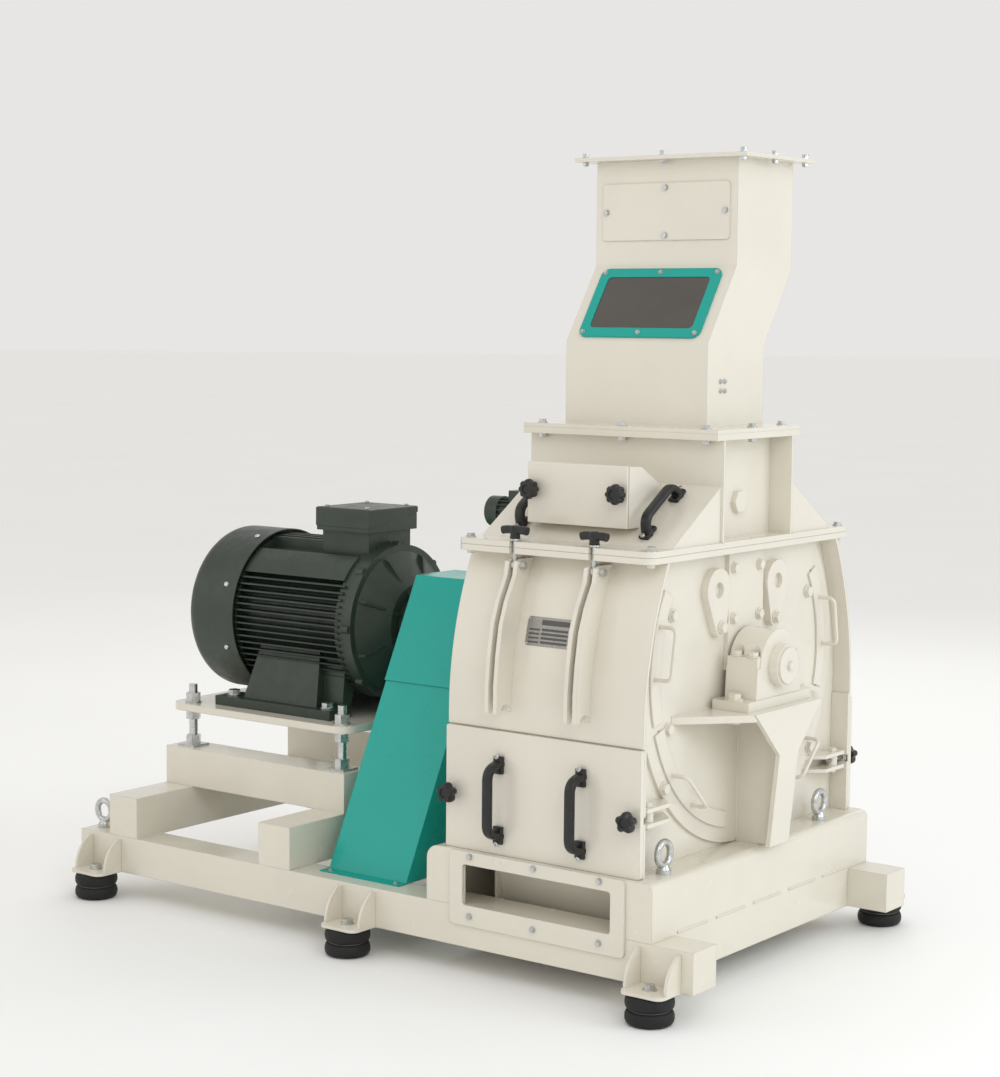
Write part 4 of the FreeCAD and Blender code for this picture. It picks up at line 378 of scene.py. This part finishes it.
def repaint(node, look, wanted):
    """Give another material to the faces of a node whose centres pass a test."""
    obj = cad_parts[node]
    mesh = obj.data
    mesh.materials.append(MATS[look])
    index = len(mesh.materials) - 1
    for face in mesh.polygons:
        place = obj.matrix_world @ face.center
        if wanted(abs(place.x - MILL_X), place.z):
            face.material_index = index


def on_side_wall(across, z):
    """Bolts on the side walls and bearings were painted over with them."""
    return SIDE_WALL_X[0] < across < SIDE_WALL_X[1] and SIDE_WALL_Z[0] < z < SIDE_WALL_Z[1]


def on_perforation(across, z):
    """The part of a screen that lies inside the drum."""
    return across < SCREEN_FLANGE_X


dress_nodes()
repaint("bolts", "ivory", on_side_wall)
for level in ("front_upper", "front_lower", "back_upper", "back_lower"):
    repaint("screen_" + level, "screen", on_perforation)


# ---------------------------------------------------------------- mesh helpers
def finish_mesh(name, bm, mat, body, smooth=30.0):
    """Turn a bmesh into a piece that rides on a body."""
    bmesh.ops.remove_doubles(bm, verts=bm.verts, dist=1e-6)
    bmesh.ops.recalc_face_normals(bm, faces=bm.faces)
    mesh = bpy.data.meshes.new(name)
    bm.to_mesh(mesh)
    bm.free()
    obj = bpy.data.objects.new(name, mesh)
    bpy.context.scene.collection.objects.link(obj)
    mesh.materials.append(MATS[mat])
    for face in mesh.polygons:
        face.use_smooth = True
    mesh.set_sharp_from_angle(angle=math.radians(smooth))
    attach(obj, body)
    return obj


def skin(bm, rings):
    """Join rings of vertices with faces, and close both ends."""
    for low, high in zip(rings, rings[1:]):
        for k in range(len(low)):
            n = (k + 1) % len(low)
            bm.faces.new((low[k], low[n], high[n], high[k]))
    bm.faces.new(list(reversed(rings[0])))
    bm.faces.new(rings[-1])


def lathe(bm, profile, origin, axis, segments=32):
    """Revolve (radius, height) points about an axis through origin."""
    axis = Vector(axis).normalized()
    side = axis.orthogonal().normalized()
    other = axis.cross(side)
    rings = []
    for r, h in profile:
        centre = Vector(origin) + axis * h
        ring = []
        for k in range(segments):
            a = 2 * math.pi * k / segments
            ring.append(bm.verts.new(centre + (side * math.cos(a) + other * math.sin(a)) * r))
        rings.append(ring)
    skin(bm, rings)


def rounded_path(corners, radius, steps=8):
    """Points along straight runs joined by arcs."""
    points = [Vector(corners[0])]
    for before, corner, after in zip(corners, corners[1:], corners[2:]):
        corner = Vector(corner)
        into = (Vector(before) - corner).normalized()
        away = (Vector(after) - corner).normalized()
        for k in range(steps + 1):
            t = k / steps
            a = corner + into * radius * (1 - t)
            b = corner + away * radius * t
            points.append(a.lerp(b, t))
    points.append(Vector(corners[-1]))
    return points


def sweep(bm, points, side, width, depth, flare=1.0, power=3.2, segments=20):
    """Loft a rounded-rectangle section along points; side is the direction of its width.

    The section grows by flare towards both ends, over a sixth of the length."""
    side = Vector(side).normalized()
    lengths = [0.0]
    for a, b in zip(points, points[1:]):
        lengths.append(lengths[-1] + (b - a).length)
    total = lengths[-1]
    rings = []
    for i, point in enumerate(points):
        low = points[max(0, i - 1)]
        high = points[min(len(points) - 1, i + 1)]
        along = (high - low).normalized()
        up = along.cross(side).normalized()
        end = min(lengths[i], total - lengths[i]) / (0.16 * total)
        grow = 1.0 + (flare - 1.0) * max(0.0, 1.0 - end) ** 1.5
        ring = []
        for k in range(segments):
            a = 2 * math.pi * k / segments
            c, s = math.cos(a), math.sin(a)
            x = math.copysign(abs(c) ** (2 / power), c) * width / 2 * grow
            y = math.copysign(abs(s) ** (2 / power), s) * depth / 2 * grow
            ring.append(bm.verts.new(point + side * x + up * y))
        rings.append(ring)
    skin(bm, rings)


def lobed(bm, levels, lobes, dip, origin, axis, up, segments=96):
    """Star knob: (radius, height, share of the dip) levels with lobes round the axis."""
    axis = Vector(axis).normalized()
    up = Vector(up).normalized()
    side = axis.cross(up)
    rings = []
    for r, h, share in levels:
        centre = Vector(origin) + axis * h
        ring = []
        for k in range(segments):
            a = 2 * math.pi * k / segments
            wave = 0.5 - 0.5 * math.cos(lobes * a)
            radius = r * (1 - dip * share * wave ** 1.6)
            ring.append(bm.verts.new(centre + (up * math.cos(a) + side * math.sin(a)) * radius))
        rings.append(ring)
    skin(bm, rings)


def socket_screw(bm, place, axis, r, height):
    """Cap screw with a hexagon socket, standing along axis."""
    axis = Vector(axis).normalized()
    lathe(bm, [(r, 0), (r, height * 0.8), (r * 0.88, height), (r * 0.55, height), (r * 0.5, height * 0.45)],
          place, axis, 24)


def rounded_slab(bm, low, high, bevel, segments=3):
    """Box with bevelled edges, from its corners."""
    made = bmesh.ops.create_cube(bm, size=1.0)
    low, high = Vector(low), Vector(high)
    for vert in made["verts"]:
        vert.co = Vector(((low.x, high.x)[vert.co.x > 0], (low.y, high.y)[vert.co.y > 0],
                          (low.z, high.z)[vert.co.z > 0]))
    edges = list({edge for vert in made["verts"] for edge in vert.link_edges})
    bmesh.ops.bevel(bm, geom=edges, offset=bevel, segments=segments, affect="EDGES", profile=0.6)


def mirror(bm, flip):
    """Mirror the whole mesh to the back of the machine when asked."""
    if flip:
        bmesh.ops.scale(bm, verts=bm.verts, vec=(1, -1, 1))
        bmesh.ops.reverse_faces(bm, faces=bm.faces)


def add_twin(bm):
    """Add a mirrored copy of the mesh at the back of the machine."""
    twin = bm.copy()
    mirror(twin, True)
    copy = bpy.data.meshes.new("twin")
    twin.to_mesh(copy)
    twin.free()
    bm.from_mesh(copy)
    bpy.data.meshes.remove(copy)


def thread(points):
    """Profile of a screw thread: crests and roots in turn."""
    return [(THREAD_R - THREAD_DEPTH * (k % 2), THREAD_STEP * k) for k in range(points)]


def add_pieces(node, body, side, parts):
    """Make a node's pieces from (mesh, name, material, slot); the node itself is hidden once the first one
    is made.
    """
    for place, (mesh, part, mat, slot) in enumerate(parts):
        mirror(mesh, side == "back")
        piece = finish_mesh(node + part, mesh, mat, body, 50)
        if place == 0:
            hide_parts(node)


# ---------------------------------------------------------------- handles
def bridge(bm, screws, foot_a, foot_b, out, rise):
    """Moulded bridge handle between two feet on a face whose normal is out."""
    foot_a, foot_b, out = Vector(foot_a), Vector(foot_b), Vector(out).normalized()
    run = (foot_b - foot_a).normalized()
    start = foot_a + out * 0.0005
    end = foot_b + out * 0.0005
    lean = run * rise * 0.22
    corners = [start, start + out * rise + lean, end + out * rise - lean, end]
    sweep(bm, rounded_path(corners, GRIP_BEND), (1, 0, 0), *GRIP_SECTION, flare=1.12)
    for foot, sign in ((foot_a, -1), (foot_b, 1)):
        centre = foot + run * 0.004 * -sign
        pad = [centre - run * GRIP_PAD_HALF, centre + run * GRIP_PAD_HALF]
        crown = [pad[0] + out * 0.006, (pad[0] + pad[1]) / 2 + out * 0.007, pad[1] + out * 0.006]
        sweep(bm, crown, (1, 0, 0), *GRIP_PAD)
        socket_screw(screws, foot + run * 0.017 * sign + out * 0.012, out, 0.006, 0.005)


def make_panel_grips(side):
    """Two bridge handles on an access panel, and their screws."""
    low, high = PANEL_GRIP_Z
    grips = bmesh.new()
    screws = bmesh.new()
    for x in (MILL_X - PANEL_GRIP_X, MILL_X + PANEL_GRIP_X):
        bridge(grips, screws, (x, PANEL_Y, low), (x, PANEL_Y, high), (0, -1, 0), 0.050)
    mirror(grips, side == "back")
    piece = finish_mesh(side + "_panel_grips", grips, "plastic", side + "_access_panel")
    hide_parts(side + "_panel_handles")
    mirror(screws, side == "back")
    piece = finish_mesh(side + "_panel_grip_screws", screws, "zinc", side + "_access_panel")


def on_wedge(x, y):
    """Point on the front wedge's slope, at a distance y from the middle."""
    share = (WEDGE_LOW[0] - y) / (WEDGE_LOW[0] - WEDGE_HIGH[0])
    return Vector((x, -y, WEDGE_LOW[1] + share * (WEDGE_HIGH[1] - WEDGE_LOW[1])))


def make_wedge_grips():
    """Two bridge handles on each sloping wedge, and their screws."""
    grips = bmesh.new()
    screws = bmesh.new()
    for x in (MILL_X - WEDGE_GRIP_X, MILL_X + WEDGE_GRIP_X):
        feet = [on_wedge(x, y) for y in WEDGE_GRIP_Y]
        bridge(grips, screws, feet[0], feet[1], WEDGE_NORMAL, 0.042)
    add_twin(grips)
    add_twin(screws)
    piece = finish_mesh("wedge_grips", grips, "plastic", "machine")
    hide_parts("hatch_handles")
    finish_mesh("wedge_grip_screws", screws, "zinc", "machine")


# ---------------------------------------------------------------- knobs and clamps
def star_levels(r, depth):
    """Rounded profile of a star knob: radius, height, and how deep the lobes cut."""
    return [(r * 0.42, -0.010, 0.0), (r * 0.46, 0.0, 0.2), (r * 0.90, 0.0005, 0.8),
            (r * 0.98, depth * 0.18, 1.0), (r, depth * 0.45, 1.0), (r * 0.98, depth * 0.72, 1.0),
            (r * 0.90, depth * 0.90, 0.9), (r * 0.78, depth, 0.7), (r * 0.45, depth * 0.98, 0.1),
            (r * 0.40, depth * 0.86, 0.0)]


def make_clamp_screw(side, end, x):
    """Star knob on a threaded stud with a washer."""
    node = "clamp_screw_%s_%s" % (side, end)
    knob = bmesh.new()
    lobed(knob, star_levels(0.0257, 0.026), 5, 0.30, (x, CLAMP_KNOB_Y, CLAMP_Z), (0, -1, 0), (0, 0, 1))
    stud = bmesh.new()
    lathe(stud, thread(54), (x, CLAMP_STUD_Y, CLAMP_Z), (0, -1, 0), 20)
    washer = [(0.0108, 0), (0.0110, 0.0006), (0.0110, 0.0034), (0.0104, 0.004)]
    lathe(stud, washer, (x, CLAMP_WASHER_Y, CLAMP_Z), (0, -1, 0), 28)
    add_pieces(node, node + "_body", side, [(knob, "_star", "plastic", "black_plastic"),
                                            (stud, "_stud", "zinc", "zinc")])


def make_t_bolt(side, end, x):
    """T-shaped grip on a threaded eyebolt."""
    node = "t_bolt_%s_%s" % (side, end)
    seat = Vector((x, T_BOLT_Y, T_BOLT_SEAT))
    half = [(0.036, 0.0230), (0.026, 0.0248), (0.010, 0.0255)]
    outline = [(-dx, dz) for dx, dz in half] + [(0.0, 0.0256)] + half[::-1]
    bar = [Vector((x + dx, T_BOLT_Y, T_BOLT_SEAT + dz)) for dx, dz in outline]
    grip = bmesh.new()
    sweep(grip, bar, (0, 1, 0), 0.0195, 0.0200, power=2.4)
    hub = [(0.0125, 0.004), (0.0130, 0.005), (0.0120, 0.011), (0.0118, 0.019), (0.0135, 0.026),
           (0.0128, 0.0325), (0.0098, 0.0355), (0.0060, 0.0360)]
    lathe(grip, hub, seat, (0, 0, 1), 32)
    bolt = bmesh.new()
    lathe(bolt, [(0.0130, 0.0), (0.0130, 0.0034), (0.0124, 0.004)], seat, (0, 0, 1), 32)
    lathe(bolt, thread(34), (x, T_BOLT_Y, T_BOLT_SEAT - 0.046), (0, 0, 1), 20)
    lathe(bolt, [(0.0058, 0), (0.0058, 0.014)], (x, T_BOLT_Y, T_BOLT_SEAT - 0.0595), (0, 0, 1), 20)
    eye = [(0.0104, -0.0065), (0.0110, -0.0058), (0.0110, 0.0058), (0.0104, 0.0065)]
    lathe(bolt, eye, (x, T_BOLT_Y, T_BOLT_PIVOT_Z), (1, 0, 0), 32)
    add_pieces(node, node + "_body", side, [(grip, "_grip", "plastic", "black_plastic"),
                                            (bolt, "_eyebolt", "zinc", "zinc")])


def make_drawer(side):
    """Cover with a tray behind it, four bar magnets and two star knobs."""
    outer, inner = DRAWER_Y
    cover = bmesh.new()
    rounded_slab(cover, (MILL_X - DRAWER_HALF, outer, DRAWER_Z[0]),
                 (MILL_X + DRAWER_HALF, inner, DRAWER_Z[1]), 0.0022)
    rounded_slab(cover, (MILL_X - TRAY_HALF, inner, TRAY_Z),
                 (MILL_X + TRAY_HALF, TRAY_BACK_Y, TRAY_Z + 0.003), 0.001)
    for a, b in ((-TRAY_HALF, 0.004 - TRAY_HALF), (TRAY_HALF - 0.004, TRAY_HALF)):
        rounded_slab(cover, (MILL_X + a, inner, TRAY_Z), (MILL_X + b, TRAY_BACK_Y, TRAY_Z + 0.040), 0.001)
    magnets = bmesh.new()
    for x in MAGNET_X:
        rounded_slab(magnets, (MILL_X + x - 0.022, -0.345, TRAY_Z + 0.003),
                     (MILL_X + x + 0.022, -0.246, TRAY_Z + 0.031), 0.004)
    knobs = bmesh.new()
    for x in (MILL_X - DRAWER_KNOB_X, MILL_X + DRAWER_KNOB_X):
        lobed(knobs, star_levels(0.025, 0.0255), 8, 0.17, (x, outer - 0.010, DRAWER_KNOB_Z),
              (0, -1, 0), (0, 0, 1))
    add_pieces(side + "_drawer", side + "_magnet_drawer", side,
               [(cover, "_cover", "ivory", "ivory_paint"), (magnets, "_magnets", "steel", "steel"),
                (knobs, "_stars", "plastic", "black_plastic")])


# ---------------------------------------------------------------- feet
def make_feet():
    """Six rubber bellows feet of two rings each, with a steel ring round the waist."""
    rubber = bmesh.new()
    metal = bmesh.new()
    profile = [(0.0440, 0.0), (FOOT_R, 0.002)]
    for base in (0.002, 0.036):
        for k in range(13):
            a = math.pi * k / 12
            profile.append((FOOT_R + FOOT_BULGE * math.sin(a) ** 0.8, base + 0.032 * (1 - math.cos(a)) / 2))
    profile += [(FOOT_R, 0.0685), (0.0440, 0.0695)]
    waist = [(0.0455, 0.0335), (0.0492, 0.0340), (0.0492, 0.0360), (0.0455, 0.0365)]
    for x in FOOT_X:
        for y in (-FOOT_Y, FOOT_Y):
            lathe(rubber, profile, (MILL_X + x, y, 0.0), (0, 0, 1), 48)
            lathe(metal, waist, (MILL_X + x, y, 0.0), (0, 0, 1), 48)
    piece = finish_mesh("bellows_feet", rubber, "rubber", "machine", 40)
    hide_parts("isolator_feet")
    finish_mesh("foot_waist_rings", metal, "hard", "machine")


# ---------------------------------------------------------------- trim
def shell_face(z):
    """Outer face of the front shell at a height."""
    return -(math.sqrt(SHELL_R ** 2 - (z - SHELL_CENTRE[1]) ** 2) - SHELL_CENTRE[0])


def curved_tag(name, x0, x1, z0, z1, lift, mat, round_r):
    """Thin tag with rounded corners that follows the curved front shell."""
    bm = bmesh.new()
    columns = 12
    rows = 10
    thickness = 0.0008
    grid = []
    for j in range(rows + 1):
        z = z0 + (z1 - z0) * j / rows
        inset = 0.0
        edge = min(z - z0, z1 - z)
        if edge < round_r:
            inset = round_r - math.sqrt(max(0.0, round_r ** 2 - (round_r - edge) ** 2))
        row = []
        for i in range(columns + 1):
            x = x0 + inset + (x1 - x0 - 2 * inset) * i / columns
            row.append(bm.verts.new((x, shell_face(z) - lift, z)))
        grid.append(row)
    for j in range(rows):
        for i in range(columns):
            bm.faces.new((grid[j][i], grid[j][i + 1], grid[j + 1][i + 1], grid[j + 1][i]))
    extruded = bmesh.ops.extrude_face_region(bm, geom=list(bm.faces))
    moved = [item for item in extruded["geom"] if isinstance(item, bmesh.types.BMVert)]
    bmesh.ops.translate(bm, verts=moved, vec=(0, -thickness, 0))
    finish_mesh(name, bm, mat, "machine")


def make_data_plate():
    """Etched plate with blank fields and four rivets."""
    x0, x1 = MILL_X + TAG_X[0], MILL_X + TAG_X[1]
    lift = 0.0008
    curved_tag("data_plate", x0, x1, TAG_Z[0], TAG_Z[1], 0.0002, "tag", 0.004)
    curved_tag("data_plate_field_a", x0 + 0.042, x1 - 0.006, 0.872, 0.884, lift, "tag_dark", 0.001)
    for k in range(4):
        z = 0.829 + 0.0098 * k
        curved_tag("data_plate_field_%d" % k, x0 + 0.044, x1 - 0.008, z, z + 0.0055, lift, "tag_dark", 0.001)
        curved_tag("data_plate_label_%d" % k, x0 + 0.008, x0 + 0.038, z, z + 0.0040, lift, "tag_dark", 0.001)
    rivets = bmesh.new()
    dome = [(0.0026 * math.cos(a), 0.0016 * math.sin(a)) for a in (0, 0.4, 0.8, 1.2, 1.5)]
    for x in (x0 + 0.005, x1 - 0.005):
        for z in (0.827, 0.885):
            lathe(rivets, dome, (x, shell_face(z) - 0.0009, z), (0, -1, 0), 20)
    finish_mesh("data_plate_rivets", rivets, "zinc", "machine")


def bead(bm, points, r, wobble):
    """Weld bead: a rippled tube along points."""
    sides = 8
    path = []
    for a, b in zip(points, points[1:]):
        a, b = Vector(a), Vector(b)
        count = max(2, int((b - a).length / 0.0025))
        path += [a.lerp(b, k / count) for k in range(count)]
    path.append(Vector(points[-1]))
    rings = []
    for i, point in enumerate(path):
        along = (path[min(i + 1, len(path) - 1)] - path[max(i - 1, 0)]).normalized()
        side = along.orthogonal().normalized()
        up = along.cross(side)
        radius = r * (1 + wobble * math.sin(i * 2.1) + 0.5 * wobble * math.sin(i * 0.73))
        ring = []
        for k in range(sides):
            a = 2 * math.pi * k / sides
            ring.append(bm.verts.new(point + (side * math.cos(a) + up * math.sin(a)) * radius))
        rings.append(ring)
    skin(bm, rings)


def make_welds():
    """Fillet welds where the plates meet in plain sight."""
    runs = []

    def weld(x, y, z, x_end, y_end, z_end):
        """One run, with x measured from the mill's middle plane."""
        runs.append([(MILL_X + x, y, z), (MILL_X + x_end, y_end, z_end)])

    for sx in (-1, 1):
        for sy in (-1, 1):
            weld(sx * 0.243, sy * 0.316, 0.6605, sx * 0.2435, sy * 0.010, 0.6605)
            weld(sx * 0.243, sy * 0.009, 0.635, sx * 0.243, sy * 0.009, 0.315)
            weld(sx * 0.285, sy * 0.166, INLET_PLATE_Z, sx * 0.225, sy * 0.166, INLET_PLATE_Z)
        weld(sx * 0.2225, -0.155, 1.067, sx * 0.2225, 0.155, 1.067)
        weld(sx * 0.2085, -0.122, CHUTE_FLANGE_Z, sx * 0.2085, 0.138, CHUTE_FLANGE_Z)
    for sy, chute_y in ((-1, -0.124), (1, 0.140)):
        for x in (-1.348, -0.896):
            weld(x, sy * 0.416, 0.1705, x, sy * 0.516, 0.1705)
        weld(-0.222, sy * 0.3745, INLET_PLATE_Z, 0.222, sy * 0.3745, INLET_PLATE_Z)
        weld(-0.208, chute_y, CHUTE_FLANGE_Z, 0.208, chute_y, CHUTE_FLANGE_Z)
    bm = bmesh.new()
    for points in runs:
        bead(bm, points, 0.0026, 0.16)
    finish_mesh("weld_beads", bm, "ivory", "machine", 60)


def make_motor_screws():
    """Screws round the fan cowl and on the terminal box's lid."""
    bm = bmesh.new()
    dome = [(0.0075, 0), (0.0078, 0.001), (0.0062, 0.004), (0.0030, 0.0052)]
    for k in range(8):
        a = math.radians(22.5 + 45 * k)
        out = Vector((0, math.cos(a), math.sin(a)))
        lathe(bm, dome, Vector((MOTOR_X, 0, SHAFT_Z)) + out * COWL_SCREW_R, out, 20)
    cap = [(0.0065, 0), (0.0065, 0.004), (0.0052, 0.0055), (0.0030, 0.0055), (0.0026, 0.003)]
    for x in LID_SCREW_X:
        for y in (-LID_SCREW_Y, LID_SCREW_Y):
            lathe(bm, cap, (MILL_X + x, y, LID_Z), (0, 0, 1), 20)
    finish_mesh("motor_small_screws", bm, "zinc", "machine")


for side in ("front", "back"):
    make_panel_grips(side)
make_wedge_grips()
for side in ("front", "back"):
    for end, across in (("left", -1), ("right", 1)):
        make_clamp_screw(side, end, MILL_X + across * CLAMP_X)
for side in ("front", "back"):
    for end, across in (("left", -1), ("right", 1)):
        make_t_bolt(side, end, MILL_X + across * T_BOLT_X)
for side in ("front", "back"):
    make_drawer(side)
make_feet()
make_data_plate()
make_welds()
make_motor_screws()


# ---------------------------------------------------------------- floor, light and camera
def make_floor():
    """Pale floor, wide enough to reach past every view."""
    bm = bmesh.new()
    bmesh.ops.create_grid(bm, x_segments=2, y_segments=2, size=90.0)
    mesh = bpy.data.meshes.new("floor")
    bm.to_mesh(mesh)
    bm.free()
    obj = bpy.data.objects.new("floor", mesh)
    bpy.context.scene.collection.objects.link(obj)
    look = Look("pale_floor", (0.97, 0.97, 0.96), 0.8)
    look.vary(0.8, 0.01)
    mesh.materials.append(look.mat)


def area(name, place, target, size, power, colour=(1, 1, 1)):
    """Rectangular soft light aimed at a point."""
    data = bpy.data.lights.new(name, "AREA")
    data.shape = "RECTANGLE"
    data.size = size[0]
    data.size_y = size[1]
    data.energy = power
    data.color = colour
    obj = bpy.data.objects.new(name, data)
    obj.location = place
    obj.rotation_euler = (Vector(target) - Vector(place)).to_track_quat("-Z", "Y").to_euler()
    bpy.context.scene.collection.objects.link(obj)


def make_world():
    """Even, slightly warm light from all round."""
    world = bpy.data.worlds.new("studio")
    world.use_nodes = True
    background = world.node_tree.nodes["Background"]
    background.inputs["Color"].default_value = (1.0, 0.99, 0.97, 1.0)
    background.inputs["Strength"].default_value = 0.80
    bpy.context.scene.world = world


def make_camera():
    """Camera at a standing person's height, off the machine's right front corner."""
    data = bpy.data.cameras.new("camera")
    data.sensor_fit = "VERTICAL"
    data.sensor_height = 36.0
    data.lens = LENS
    obj = bpy.data.objects.new("camera", data)
    yaw, pitch, roll = math.radians(37.0), math.radians(-5.54), math.radians(0.49)
    ahead = Vector((-math.sin(yaw) * math.cos(pitch), math.cos(yaw) * math.cos(pitch), math.sin(pitch)))
    level = Vector((math.cos(yaw), math.sin(yaw), 0.0))
    above = level.cross(ahead)
    right = level * math.cos(roll) + above * math.sin(roll)
    up = above * math.cos(roll) - level * math.sin(roll)
    turn = Matrix((right, up, -ahead)).transposed()
    obj.matrix_world = Matrix.Translation(EYE) @ turn.to_4x4()
    data.clip_end = 100.0
    bpy.context.scene.collection.objects.link(obj)
    bpy.context.scene.camera = obj


make_floor()
make_world()
area("key", (4.2, -3.2, 4.2), (0.4, 0, 0.8), (3.0, 3.0), 55, (0.95, 0.98, 1.0))
area("fill", (-3.8, -4.2, 2.6), (0.0, 0, 0.8), (3.5, 3.0), 18, (1.0, 0.96, 0.90))
area("side", (5.0, 1.2, 2.6), (0.6, 0, 0.8), (2.5, 2.5), 52, (0.80, 0.92, 1.0))
area("back", (-1.5, 4.5, 4.0), (0.0, 0, 1.0), (4.0, 3.0), 40)
make_camera()
bpy.context.scene.view_settings.view_transform = "Standard"
